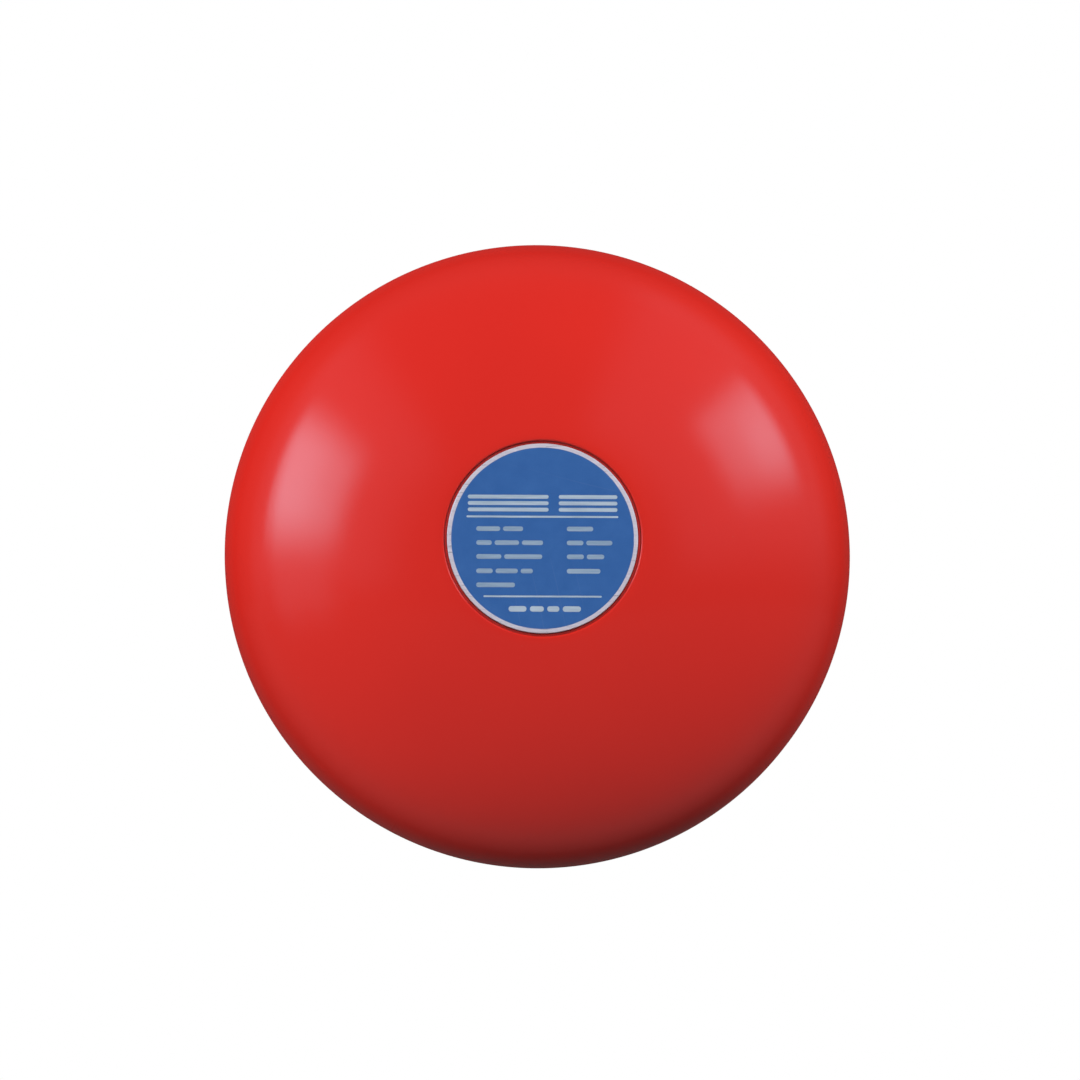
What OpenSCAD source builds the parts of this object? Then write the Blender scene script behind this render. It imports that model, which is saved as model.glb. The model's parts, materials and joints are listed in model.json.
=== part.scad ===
// A round electric bell: a red gong over a motor-driven striker in a black housing on a back plate.
// The wall is the plane Y = 0, the bell faces -Y with +Z up, and its axis is the Y axis.

/* [Gong] */
// Outside diameter of the gong at its rim
gong_d = 150; // [146:1:156]
// Thickness of the pressed steel
gong_t = 1.2; // [1:0.1:1.5]
// Height of the curved dome above the straight skirt
dome_h = 34; // [32:0.5:38]
// Roundness of the dome, where 2 is an ellipse
dome_n = 2.1; // [2:0.05:2.3]
// Length of the straight skirt at the rim
skirt_h = 5; // [4:0.5:7]
// Distance of the gong's rim from the wall
rim_z = 22; // [21:0.5:22]
// Depth of the well that hides the gong nut
well_h = 10.4; // [10.2:0.1:11]

/* [Nameplate] */
// Diameter of the round nameplate
plate_d = 45; // [43:0.5:45]
// Thickness of the nameplate
plate_t = 0.8; // [0.5:0.1:0.8]

/* [Back plate] */
// Diameter of the steel back plate
back_d = 116; // [114:1:118]
// Thickness of the back plate
back_t = 1.5; // [1.2:0.1:1.5]
// Pitch circle of the wall fixing holes
wall_pcd = 102; // [100:1:103]
// Diameter of each wall fixing hole
wall_hole_d = 5; // [4:0.5:6]
// Height that the middle of the back plate stands off the wall
back_rise = 3.2; // [3.2:0.1:3.2]

/* [Housing] */
// Outside diameter of the mechanism housing
case_d = 86; // [86:0.5:87]
// Wall thickness of the housing
case_wall = 2.5; // [2:0.1:2.5]
// Height of the housing's open edge above the wall
case_top = 32; // [32:0.5:32.5]
// Thickness of the housing cover
cover_t = 2; // [1.5:0.1:3]

/* [Cable entry] */
// Bore of the cable grommet
cable_d = 9; // [6:0.5:10]

/* [Striker] */
// Diameter of the striker rod
rod_d = 5; // [5:0.1:5]
// Throw of the eccentric
throw_r = 1.25; // [1:0.05:1.3]
// Travel of the striker from its stop to the gong
strike_travel = 2.3; // [2:0.1:2.5]
// Radial running clearance of the striker rod in its bush
rod_fit = 0.03; // [0.02:0.01:0.05]

/* [Hidden] */
$fn = 64;

// Names ending in _z are heights above the wall. Names ending in _s are distances
// down from the bell's axis.

// Gong
gong_r = gong_d / 2;
skirt_z = rim_z + skirt_h;              // where the dome starts
crown_r = 24;                           // where the dome meets the edge of the nameplate recess
recess_r = plate_d / 2 + 0.6;           // wall of the nameplate recess
crown_angle = asin(pow(crown_r / gong_r, dome_n / 2));
crown_z = skirt_z + dome_h * pow(cos(crown_angle), 2 / dome_n);
shelf_z = crown_z - 0.9;                // floor of the nameplate recess
well_z = shelf_z - well_h;              // floor of the nut well
gong_hole_r = 5;
dome_steps = 40;

// Back plate and housing
deck_z = back_rise + back_t;            // front of the back plate's middle
case_r = case_d / 2;
case_in = case_r - case_wall;
floor_z = deck_z + 2;                   // inside floor of the housing
root_z = floor_z - 1;                   // where inside features start, sunk in the floor
boss_ring = 36.5;                       // radius of the ring of corner bosses
corner_angles = [45:90:315];
entry_at = [-25, 12];                   // centre of the cable entry
entry_r = 7;
peg_at = [30, -8];                      // locating pegs, one each side

// Motor
motor_y = -21.5;                        // motor axis, below the bell's axis
motor_z = floor_z + 2.3;                // rear of the motor
motor_len = 12.3;
motor_r = 12.2;
can_in = 11.5;                          // inside radius of the motor can
shaft_r = 1;
press_r = shaft_r + 0.01;               // bore of parts fixed on the shaft
bearing_bore_r = shaft_r + 0.02;
motor_screw_x = 8.5;
terminal_x = 7;
bracket_z = motor_z + motor_len;
bracket_t = 1.2;
bracket_screw_x = 17.5;
eccentric_z = bracket_z + 1.5;
roller_z = bracket_z + 2.2;
roller_w = 5;
roller_top = roller_z + roller_w;
roller_r = 5;
hub_r = 3;                              // eccentric's hub, inside the roller

// Striker
strike_z = roller_z + roller_w / 2;     // height of the striker's axis
sweep_r = throw_r + roller_r;           // furthest reach of the roller
foot_s = -motor_y + sweep_r + 0.15;     // inner face of the striker foot
foot_t = 2.5;
tip_s = gong_r - gong_t - 0.2 - strike_travel;  // outer end of the striker tip
bush_s = 38.5;                          // spring seat on the guide bush
snout_s = 52;                           // outer end of the housing's snout
rod_r = rod_d / 2;
rod_end_r = 1.6;                        // thinned ends of the rod
socket_r = rod_end_r + 0.02;            // sockets for those ends

// Centre post
post_r = 5;
stud_r = 3;
post_top = well_z - gong_t - 2;         // shoulder under the gong
stud_h = shelf_z - 0.6 - post_top;

// Circuit board
board_z = floor_z + 2;
board_t = 1.6;
board_top = board_z + board_t;
board_screws_at = [[17, 25], [-2, 12.6]];

// Screw holes: pilot radius in the threaded part, clearance radius in the part held
thread_gap = 0.02;                      // from a screw's shank to its pilot hole
post_pilot = 2.1;
post_clear = 2.7;
base_pilot = 1.25;
cover_pilot = 1.05;
bracket_pilot = 1.05;
motor_pilot = 0.97;
board_pilot = 0.85;

red = [0.80, 0.05, 0.03];
zinc = [0.72, 0.73, 0.74];
black = [0.06, 0.06, 0.065];
bronze = [0.62, 0.45, 0.22];
copper = [0.75, 0.45, 0.2];
bright_steel = [0.8, 0.8, 0.82];
off_white = [0.93, 0.92, 0.88];

// ---- outlines ----

function xy(point) = [point.x, point.y];

// One corner of an outline turned into an arc.
function arc_corner(before, corner, after, radius, steps) =
    let (to_before = (before - corner) / norm(before - corner),
         to_after = (after - corner) / norm(after - corner),
         half = acos(to_before * to_after) / 2,
         middle = to_before + to_after,
         centre = corner + middle / norm(middle) * radius / sin(half),
         start = corner + to_before * radius / tan(half) - centre,
         end = corner + to_after * radius / tan(half) - centre,
         from = atan2(start.y, start.x),
         swing = atan2(end.y, end.x) - from,
         turn = swing > 180 ? swing - 360 : swing < -180 ? swing + 360 : swing)
    [for (i = [0:steps]) let (angle = from + turn * i / steps)
        centre + radius * [cos(angle), sin(angle)]];

// A closed outline of [x, y, corner radius] points with its corners rounded.
function rounded(outline, steps = 4) =
    let (count = len(outline))
    [for (i = [0:count - 1]) let (point = outline[i])
        each (point[2] > 0
            ? arc_corner(xy(outline[(i + count - 1) % count]), xy(point),
                         xy(outline[(i + 1) % count]), point[2], steps)
            : [xy(point)])];

// Points on a curve that passes smoothly through the guide points.
function spline(guides, steps) = let (last = len(guides) - 1) [
    for (i = [0:last - 1])
        let (a = guides[max(i - 1, 0)], b = guides[i],
             c = guides[i + 1], d = guides[min(i + 2, last)])
        for (k = [0:steps - 1]) let (t = k / steps)
            0.5 * (2 * b + (c - a) * t + (2 * a - 5 * b + 4 * c - d) * t * t
                + (3 * b - a - 3 * c + d) * t * t * t),
    guides[last]];

// ---- placing ----

// Everything is drawn with the wall at z = 0, the bell facing +z and +y up, then turned.
module place() { rotate([90, 0, 0]) children(); }
// z runs down from the bell's axis at the striker's height, and +y points to the bell's front.
module along_strike() { translate([0, 0, strike_z]) rotate([90, 0, 0]) children(); }
module at_motor() { translate([0, motor_y, 0]) children(); }
module raise(z) { translate([0, 0, z]) children(); }
module around(angles) { for (a = angles) rotate([0, 0, a]) children(); }
module both_sides(x) { for (side = [-1, 1]) translate([side * x, 0, 0]) children(); }
module mirrored(axis) { for (m = [0, 1]) mirror(m * axis) children(); }
module corners(ring_r = boss_ring) {
    for (a = corner_angles) translate([ring_r * cos(a), ring_r * sin(a), 0]) children();
}
module at_pegs() { translate([0, peg_at.y, 0]) both_sides(peg_at.x) children(); }
module at_bracket_screws() { at_motor() both_sides(bracket_screw_x) children(); }
module at_board_screws() { for (p = board_screws_at) translate([p.x, p.y, 0]) children(); }

// ---- shared shapes ----

// A turned part: the profile's rows are [radius, height, corner radius].
module turned(profile, steps = 4) { rotate_extrude() polygon(rounded(profile, steps)); }

module tube(outer_r, inner_r, h) {
    difference() {
        cylinder(r = outer_r, h = h);
        raise(-1) cylinder(r = inner_r, h = h + 2);
    }
}

// A pan-head screw with a cross recess: the head stands on z = 0 and the shank goes down.
module pan_screw(pilot_r, length, head_r, head_h) {
    shank_r = pilot_r - thread_gap;
    difference() {
        turned([[0, -length, 0], [shank_r * 0.7, -length, 0],
            [shank_r, -length + shank_r * 0.6, 0], [shank_r, 0, 0], [head_r, 0, 0.15],
            [head_r * 0.98, head_h * 0.75, head_h * 0.5], [head_r * 0.6, head_h, 0],
            [0, head_h, 0]]);
        around([0, 90]) translate([-head_r * 0.6, -head_r * 0.13, head_h * 0.4])
            cube([head_r * 1.2, head_r * 0.26, head_h]);
    }
}

// Joins rings of points, each with the given number of sides, into a closed tube.
module skin(points, sides) {
    last = len(points) / sides - 1;
    ends = [[for (k = [0:sides - 1]) k], [for (k = [sides - 1:-1:0]) last * sides + k]];
    walls = [for (i = [0:last - 1]) for (k = [0:sides - 1])
        let (a = i * sides + k, b = i * sides + (k + 1) % sides)
        each [[a, a + sides, b], [b, a + sides, b + sides]]];
    polyhedron(points = points, faces = concat(ends, walls));
}

// ---- gong ----

// A point on the dome, moved inwards by inset along the normal.
function dome(angle, inset = 0) =
    let (r = gong_r * pow(sin(angle), 2 / dome_n),
         z = dome_h * pow(cos(angle), 2 / dome_n),
         slope = [pow(r / gong_r, dome_n - 1) / gong_r, pow(z / dome_h, dome_n - 1) / dome_h],
         normal = slope / norm(slope))
    [r - inset * normal.x, skirt_z + z - inset * normal.y];
function dome_angle(i) = crown_angle + (90 - crown_angle) * i / dome_steps;

// Front of the well and the nameplate recess, as [radius, height, corner radius].
well_front = [[gong_hole_r, well_z - gong_t, 0], [gong_hole_r, well_z, 0], [12.4, well_z, 1.2],
    [14.2, shelf_z, 1.2], [recess_r, shelf_z, 0.25], [recess_r + 0.15, crown_z - 0.02, 0.5],
    [crown_r, crown_z, 0]];
// The same region from behind, going inwards.
well_back = [[26, dome(crown_angle + 2, gong_t).y + 0.1, 0], [23.4, shelf_z - gong_t, 0.4],
    [15.1, shelf_z - gong_t, 2.2], [13.3, well_z - gong_t, 2.2],
    [gong_hole_r + 2, well_z - gong_t, 0]];
function rounded_rim() = let (r = gong_t / 2, centre = [gong_r - r, rim_z + r])
    [for (i = [0:8]) centre + r * [cos(-i * 22.5), sin(-i * 22.5)]];

module gong() color(red) rotate_extrude() polygon(concat(
    rounded(well_front, 5),
    [for (i = [1:dome_steps]) dome(dome_angle(i))],
    rounded_rim(),
    [for (i = [dome_steps:-1:1]) dome(dome_angle(i), gong_t)],
    rounded(well_back, 5)));

module nameplate() color([0.10, 0.25, 0.55]) raise(shelf_z)
    turned([[0, 0, 0], [plate_d / 2, 0, 0], [plate_d / 2, plate_t, 0.25], [0, plate_t, 0]]);

// ---- gong fixing, stacked from the floor of the well ----

flat_washer_z = well_z + 1.5;
lock_washer_z = flat_washer_z + 1.2;
nut_z = lock_washer_z + 1.5;
nut_h = 5;

module gong_nut() color(zinc) raise(nut_z) intersection() {
    difference() {
        cylinder(r = 5.77, h = nut_h, $fn = 6);
        raise(-1) cylinder(r = stud_r + 0.01, h = nut_h + 2);
    }
    // chamfers the corners at both ends
    turned([[0, 0, 0], [5.1, 0, 0], [5.9, 0.5, 0], [5.9, nut_h - 0.5, 0], [5.1, nut_h, 0],
        [0, nut_h, 0]]);
}

module lock_washer() color(zinc) raise(lock_washer_z) difference() {
    tube(5.2, 3.15, 1.45);
    // slanting split
    rotate([25, 0, 0]) translate([2, -0.4, -2]) cube([5, 0.8, 6]);
}

module flat_washer() color(zinc) raise(flat_washer_z)
    turned([[3.2, 0, 0], [6.8, 0, 0.2], [6.8, 1.18, 0.4], [3.2, 1.18, 0]]);

module front_rubber_washer() color(black) raise(well_z)
    turned([[3.1, 0, 0], [7.2, 0, 0.2], [7.2, 1.48, 0.5], [3.1, 1.48, 0]]);

// A flange behind the gong with a collar in the gong's hole.
module rear_rubber_grommet() color(black) raise(post_top)
    turned([[3.05, 0, 0], [7.6, 0, 0.4], [7.6, 1.99, 0.4], [gong_hole_r - 0.05, 1.99, 0],
        [gong_hole_r - 0.05, 3.1, 0], [3.05, 3.1, 0]]);

module centre_post() color(zinc) difference() {
    union() {
        turned([[0, floor_z, 0], [7.5, floor_z, 0], [7.5, floor_z + 2, 0.4],
            [post_r, floor_z + 2, 0.8], [post_r, post_top, 0.3], [0, post_top, 0]]);
        // spanner flats under the shoulder
        raise(post_top - 6) cylinder(r = 6.2, h = 5, $fn = 6);
        // stud for the nut
        raise(post_top - 0.01) turned([[0, 0, 0], [stud_r, 0, 0], [stud_r, stud_h - 0.6, 0],
            [2.4, stud_h, 0], [0, stud_h, 0]]);
    }
    raise(floor_z - 1) cylinder(r = post_pilot, h = 15);
}

module post_screw() color(zinc) raise(back_rise) mirror([0, 0, 1])
    pan_screw(post_pilot, length = 14, head_r = 4.6, head_h = 2.5);

// ---- back plate ----

// A raised middle, a dish around it and a rim turned forwards: [radius, height, corner radius].
back_profile = [[0, back_rise, 0], [case_r + 0.4, back_rise, 0.8], [case_r + 2.6, 0, 1.8],
    [back_d / 2, 0, 1.8], [back_d / 2, 4.2, 0.4], [back_d / 2 - back_t, 4.2, 0.4],
    [back_d / 2 - back_t, back_t, 0.6], [case_r + 3.4, back_t, 0.6],
    [case_r + 1.2, deck_z, 1.8], [0, deck_z, 0]];

module back_plate() color(zinc) difference() {
    turned(back_profile, 5);
    raise(-1) corners(wall_pcd / 2) cylinder(d = wall_hole_d, h = 5);
    raise(1) {
        corners() cylinder(r = 1.7, h = 6);
        cylinder(r = post_clear, h = 6);
        translate([entry_at.x, entry_at.y, 0]) cylinder(r = entry_r, h = 6);
        at_pegs() cylinder(r = 1.6, h = 6);
    }
}

module base_screws() color(zinc) raise(back_rise) corners() mirror([0, 0, 1])
    pan_screw(base_pilot, length = 10, head_r = 2.8, head_h = 1.9);

// A groove between two flanges grips the edge of the entry hole.
module cable_grommet() color(black) translate([entry_at.x, entry_at.y, 0])
    turned([[cable_d / 2, back_rise - 1.3, 0], [9, back_rise - 1.3, 0.9],
        [9, back_rise - 0.02, 0.2], [entry_r - 0.05, back_rise - 0.02, 0],
        [entry_r - 0.05, deck_z + 0.02, 0], [9, deck_z + 0.02, 0.2], [9, deck_z + 1.4, 0.9],
        [cable_d / 2, deck_z + 1.4, 0]]);

// ---- housing ----

boss_h = case_top - root_z;
snout_start = 37;
snout_rib_t = 2.5;
side_rib_t = 1.6;

module housing_shell() difference() {
    turned([[0, deck_z, 0], [case_r + 0.2, deck_z, 0.3], [case_r + 0.2, deck_z + 2.4, 0.3],
        [case_r, deck_z + 2.8, 0], [case_r, case_top, 0.3], [0, case_top, 0]]);
    raise(floor_z) cylinder(r = case_in, h = 40);
}

// Screw bosses, tied to the wall of the housing by webs.
module corner_bosses() intersection() {
    raise(deck_z) cylinder(r = case_r, h = case_top - deck_z);
    raise(root_z) {
        corners() cylinder(r = 3.4, h = boss_h);
        around(corner_angles) translate([boss_ring, -1.2, 0]) cube([6, 2.4, boss_h]);
    }
}

// The snout that holds the guide bush, with a rib outside the wall and a rib inside it.
module snout() {
    intersection() {
        along_strike() raise(snout_start) cylinder(r = 6, h = snout_s - snout_start);
        translate([-10, -60, deck_z]) cube([20, 30, case_top - deck_z]);
    }
    // outside rib, drawn as [z, y]
    translate([snout_rib_t / 2, 0, 0]) rotate([0, -90, 0]) linear_extrude(snout_rib_t)
        polygon([[deck_z + 0.8, -case_r + 0.8], [deck_z + 0.8, -case_r - 2],
            [strike_z - 5.5, -snout_s + 1], [strike_z - 3, -snout_s + 1],
            [strike_z - 3, -case_r + 0.8]]);
    translate([-snout_rib_t / 2, -case_in - 0.5, root_z])
        cube([snout_rib_t, case_in - 36.8, strike_z - floor_z - 3.6]);
}

// A ring with a step for the rear of the motor and two gaps in its upper side.
module motor_cradle() at_motor() difference() {
    raise(root_z) cylinder(r = 13.5, h = 5);
    raise(floor_z) cylinder(r = 10.8, h = 9);
    raise(motor_z) cylinder(r = motor_r + 0.08, h = 9);
    around([47.3, 132.7]) translate([8, -2.2, floor_z]) cube([8, 4.4, 9]);
}

// Upright ribs around the outside, left out beside the snout: drawn as [radius, height].
module side_ribs() around([for (a = [15:30:345]) if (a < 240 || a > 300) a])
    translate([0, -side_rib_t / 2, 0]) rotate([90, 0, 0]) mirror([0, 0, 1])
        linear_extrude(side_rib_t)
            polygon([[case_r - 1, deck_z + 1.2], [case_r + 1.1, deck_z + 1.2],
                [case_r + 0.7, case_top - 2.5], [case_r - 1, case_top - 1.6]]);

module housing_holes() {
    // bush seat: a counterbore inside and a bore right through
    along_strike() {
        raise(30) cylinder(r = 4.75, h = 10);
        raise(36) cylinder(r = 4.02, h = 20);
    }
    // screw holes
    raise(case_top - 10) corners() cylinder(r = cover_pilot, h = 12);
    raise(bracket_z - 9) at_bracket_screws() cylinder(r = bracket_pilot, h = 10);
    raise(deck_z + 0.6) at_board_screws() cylinder(r = board_pilot, h = 6);
    raise(deck_z - 1) {
        corners() cylinder(r = base_pilot, h = 11);
        cylinder(r = post_clear, h = 6);
        // room for the grommet's front flange
        translate([entry_at.x, entry_at.y, 0]) cylinder(r = 9.3, h = 6);
    }
    // drain hole at the bottom of the wall
    translate([11, -case_r + 6, deck_z + 6]) rotate([90, 0, 0]) cylinder(r = 1.5, h = 12);
}

module mechanism_housing() color(black) difference() {
    union() {
        housing_shell();
        corner_bosses();
        snout();
        motor_cradle();
        // pillars for the motor bracket and the circuit board
        raise(root_z) {
            at_bracket_screws() cylinder(r = 3.2, h = bracket_z - root_z);
            at_board_screws() cylinder(r = 2.3, h = board_z - root_z);
        }
        // pegs into the back plate
        raise(back_rise + 0.3) at_pegs() cylinder(r = 1.55, h = 3);
        side_ribs();
    }
    housing_holes();
}

lip_arc = 72;

module housing_cover() color(black) difference() {
    union() {
        raise(case_top) {
            turned([[0, 0, 0], [case_r, 0, 0], [case_r, cover_t, 0.6], [0, cover_t, 0]]);
            // collar around the centre post
            turned([[5.8, 0, 0], [9, 0, 0], [8.4, cover_t + 2.2, 0.4],
                [5.8, cover_t + 2.2, 0.2]]);
            // low raised ring
            turned([[24, 0, 0], [27, 0, 0], [26.6, cover_t + 0.7, 0.2],
                [24.4, cover_t + 0.7, 0.2]]);
        }
        // lips inside the housing at its right, top and left
        raise(case_top - 1.6) around([for (a = [0, 90, 180]) a - lip_arc / 2])
            rotate_extrude(angle = lip_arc) translate([case_in - 0.8, 0]) square([0.7, 2]);
    }
    raise(case_top - 1) {
        cylinder(r = post_r + 0.5, h = 9);
        corners() cylinder(r = 1.45, h = 6);
    }
}

module cover_screws() color(zinc) raise(case_top + cover_t) corners()
    pan_screw(cover_pilot, length = 9, head_r = 2.5, head_h = 1.7);

// ---- motor ----

cap_r = can_in - 0.03;

// Open at the rear, with a collar for the bearing at the front.
module motor_can() color(zinc) at_motor() difference() {
    turned([[motor_r, motor_z + 0.05, 0], [motor_r, bracket_z, 0.8], [3, bracket_z, 0.3],
        [3, bracket_z + 1, 0.2], [2.42, bracket_z + 1, 0], [2.42, bracket_z - 0.7, 0],
        [can_in, bracket_z - 0.7, 0.3], [can_in, motor_z + 0.05, 0]]);
    raise(bracket_z - 2) both_sides(motor_screw_x) cylinder(r = motor_pilot, h = 4);
}

module motor_end_cap() color([0.85, 0.84, 0.80]) at_motor() raise(motor_z) difference() {
    union() {
        cylinder(r = cap_r, h = 1.4);
        raise(1) tube(cap_r, 10.4, 2.1);
        cylinder(r = 3.2, h = 1.7);
        // posts beside the brush arms
        mirrored([1, 0, 0]) translate([3.82, 3.45, 1]) cube([1.5, 1.5, 2.6]);
    }
    raise(-1) cylinder(r = 2, h = 9);
    // terminal slots
    both_sides(terminal_x) translate([-0.25, 1, -1]) cube([0.5, 2.2, 9]);
}

module motor_magnets() color([0.2, 0.2, 0.21]) at_motor() raise(motor_z + 3.3)
    around([-75, 105]) rotate_extrude(angle = 150) translate([9, 0]) square([2.45, 7.6]);

module front_bearing() color(bronze) at_motor() raise(bracket_z - 2)
    tube(2.4, bearing_bore_r, 2.9);

module rear_bearing() color(bronze) at_motor() raise(motor_z + 0.2)
    tube(1.98, bearing_bore_r, 1.4);

// An upright strip behind each brush, and a strip from it out to the terminal.
module brush_arms() color(copper) at_motor() mirrored([1, 0, 0])
    translate([3.5, 0, motor_z + 2.1]) {
        translate([0, -2.2, 0]) cube([0.3, 7, 1.5]);
        translate([0, 2.1, 0]) cube([3.28, 0.3, 1.5]);
    }

module carbon_brushes() color([0.12, 0.12, 0.12]) at_motor() mirrored([1, 0, 0])
    translate([2.65, -0.8, motor_z + 2.15]) cube([0.83, 1.6, 1.4]);

module motor_terminals() color(copper) at_motor() both_sides(terminal_x)
    translate([-0.2, 1.1, motor_z - 2]) cube([0.4, 2, 5.6]);

module motor_bracket() color(zinc) at_motor() raise(bracket_z) difference() {
    union() {
        translate([-bracket_screw_x, -4.2, 0]) cube([2 * bracket_screw_x, 8.4, bracket_t]);
        cylinder(r = 10.6, h = bracket_t);
        both_sides(bracket_screw_x) cylinder(r = 4.2, h = bracket_t);
    }
    // flats below and above the motor axis
    for (y = [-20, 7]) translate([-12, y, -1]) cube([24, 13, 4]);
    raise(-1) {
        cylinder(r = 3.4, h = 4);
        both_sides(motor_screw_x) cylinder(r = 1.1, h = 4);
        both_sides(bracket_screw_x) cylinder(r = 1.4, h = 4);
    }
}

module motor_screws() color(zinc) at_motor() raise(bracket_z + bracket_t)
    both_sides(motor_screw_x) pan_screw(motor_pilot, length = 2.2, head_r = 1.85, head_h = 1.2);

module bracket_screws() color(zinc) raise(bracket_z + bracket_t) at_bracket_screws()
    pan_screw(bracket_pilot, length = 8, head_r = 2.4, head_h = 1.6);

// ---- rotor ----

shaft_len = roller_top + 1.4 - motor_z;
core_z = motor_z + 4.6;
core_h = 4;
pole_angles = [90:120:330];
pole_w = 2.4;
coil_r = 2.95;                          // inner edge of the windings

module rotor_shaft() color(bright_steel) at_motor() raise(motor_z + 0.3)
    turned([[0, 0, 0], [0.8, 0, 0], [shaft_r, 0.3, 0], [shaft_r, shaft_len - 0.3, 0],
        [0.7, shaft_len, 0], [0, shaft_len, 0]]);

module rotor_core() color([0.45, 0.46, 0.48]) at_motor() raise(core_z) difference() {
    linear_extrude(core_h) {
        circle(r = 2.8);
        around(pole_angles) translate([0, -pole_w / 2]) square([7.5, pole_w]);
        // pole shoes
        intersection() {
            difference() {
                circle(r = 8.6);
                circle(r = 6.5);
            }
            around(pole_angles) polygon([[0, 0], [14, -14], [14, 14]]);
        }
    }
    raise(-1) cylinder(r = press_r, h = 6);
}

module rotor_windings() color([0.72, 0.32, 0.12]) at_motor() around(pole_angles) difference() {
    translate([coil_r, -3, core_z - 0.75]) cube([2.75, 6, 5.5]);
    translate([2, -pole_w / 2 - 0.02, core_z - 0.02]) cube([6, pole_w + 0.04, core_h + 0.04]);
    // coil ends clear the neighbouring coils
    mirrored([0, 1, 0]) translate([coil_r, 3, core_z - 2]) rotate([0, 0, -30])
        translate([-6, -0.9, 0]) cube([6.2, 3, 8]);
}

module commutator() color([0.78, 0.42, 0.2]) at_motor() raise(motor_z + 1.9) difference() {
    tube(2.6, 1.92, 1.8);
    around([30:120:270]) translate([1, -0.15, -1]) cube([3, 0.3, 4]);
}

module commutator_sleeve() color([0.25, 0.12, 0.06]) at_motor() raise(motor_z + 1.85)
    tube(1.9, press_r, 2.4);

// The eccentric and its roller are shown at the bottom of their throw.
module eccentric() color([0.75, 0.6, 0.3]) at_motor() difference() {
    translate([0, -throw_r, eccentric_z]) {
        cylinder(r = 4.6, h = 0.62);
        cylinder(r = hub_r, h = roller_top + 0.08 - eccentric_z);
    }
    raise(bracket_z) cylinder(r = press_r, h = 12);
}

module roller_retainer() color(zinc) at_motor() raise(roller_top + 0.1)
    tube(5.2, press_r, 0.6);

module cam_roller() color([0.82, 0.83, 0.85]) translate([0, motor_y - throw_r, roller_z])
    turned([[hub_r + 0.04, 0, 0], [roller_r, 0, 0.4], [roller_r, roller_w, 0.4],
        [hub_r + 0.04, roller_w, 0]]);

// ---- striker, with heights measured down from the bell's axis ----

clip_groove_s = snout_s + 1.12;
clip_groove_w = 0.8;
clip_groove_r = 2;
tip_back_s = tip_s - 6.5;               // shoulder of the rod behind the tip
tip_socket_s = tip_s - 2.6;             // bottom of the tip's socket

module striker_rod() color(bright_steel) along_strike()
    turned([[0, foot_s + 0.8, 0], [rod_end_r, foot_s + 0.8, 0], [rod_end_r, foot_s + foot_t, 0],
        [rod_r, foot_s + foot_t, 0], [rod_r, clip_groove_s, 0],
        [clip_groove_r, clip_groove_s, 0], [clip_groove_r, clip_groove_s + clip_groove_w, 0],
        [rod_r, clip_groove_s + clip_groove_w, 0], [rod_r, tip_back_s, 0],
        [rod_end_r, tip_back_s, 0], [rod_end_r, tip_socket_s, 0], [0, tip_socket_s, 0]]);

module striker_foot() color(off_white) along_strike() raise(foot_s) difference() {
    turned([[0, 0, 0], [2.4, 0, 0.5], [3.3, 0.6, 0.4], [3.3, foot_t - 0.02, 0],
        [0, foot_t - 0.02, 0]]);
    raise(0.78) cylinder(r = socket_r, h = 5);
}

module striker_tip() color(off_white) along_strike() difference() {
    turned([[0, tip_back_s + 0.02, 0], [3.6, tip_back_s + 0.02, 0.3], [4.4, tip_s - 5.6, 0.6],
        [4.4, tip_s - 2.4, 1.2], [2.6, tip_s - 0.45, 1.6], [1, tip_s, 0], [0, tip_s, 0]], 6);
    raise(tip_s - 8) cylinder(r = socket_r, h = 5.42);
}

module stop_washer() color(black) along_strike() raise(snout_s + 0.05)
    tube(4.3, rod_r + 0.03, 1);

// A clip in the rod's groove, open towards the bell's front, with a notch each side.
module retaining_clip() color([0.3, 0.3, 0.32]) along_strike() raise(clip_groove_s + 0.05)
    difference() {
        tube(4.1, clip_groove_r + 0.02, 0.7);
        translate([-1.3, 0, -1]) cube([2.6, 6, 3]);
        around([215, 325]) translate([3.1, 0, -1]) cylinder(r = 0.8, h = 3);
    }

module guide_bush() color([0.72, 0.55, 0.25]) along_strike() difference() {
    turned([[0, bush_s, 0], [4.6, bush_s, 0.2], [4.6, bush_s + 1.48, 0], [4, bush_s + 1.48, 0],
        [4, snout_s, 0.3], [0, snout_s, 0]]);
    raise(30) cylinder(r = rod_r + rod_fit, h = 30);
}

spring_r = 3.02;
wire_r = 0.28;
wire_sides = 6;
spring_from = foot_s + foot_t + 0.02 + wire_r;
spring_len = bush_s - 0.02 - wire_r - spring_from;
spring_turns = 6;
turn_steps = 16;
end_pitch = 2.1 * wire_r;               // advance of the closed first and last turns

// How far along the spring has advanced after the given number of turns.
function spring_rise(turns) =
    turns < 1 ? turns * end_pitch
    : turns > spring_turns - 1 ? spring_len - (spring_turns - turns) * end_pitch
    : end_pitch + (turns - 1) / (spring_turns - 2) * (spring_len - 2 * end_pitch);

module return_spring() color([0.75, 0.76, 0.78]) along_strike()
    skin([for (i = [0:spring_turns * turn_steps])
        let (angle = i * 360 / turn_steps, z = spring_from + spring_rise(i / turn_steps))
        for (k = [0:wire_sides - 1])
            let (b = k * 360 / wire_sides, r = spring_r + wire_r * cos(b))
            [r * cos(angle), r * sin(angle), z + wire_r * sin(b)]], wire_sides);

// ---- electrical ----

block_at = [-13.6, 14];
clamp_x = 4;                            // screws, from the block's left side

module at_block() { translate([block_at.x, block_at.y, board_top]) children(); }
module at_ways() { for (y = [2.55, 7.65]) translate([0, y, 0]) children(); }

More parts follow.
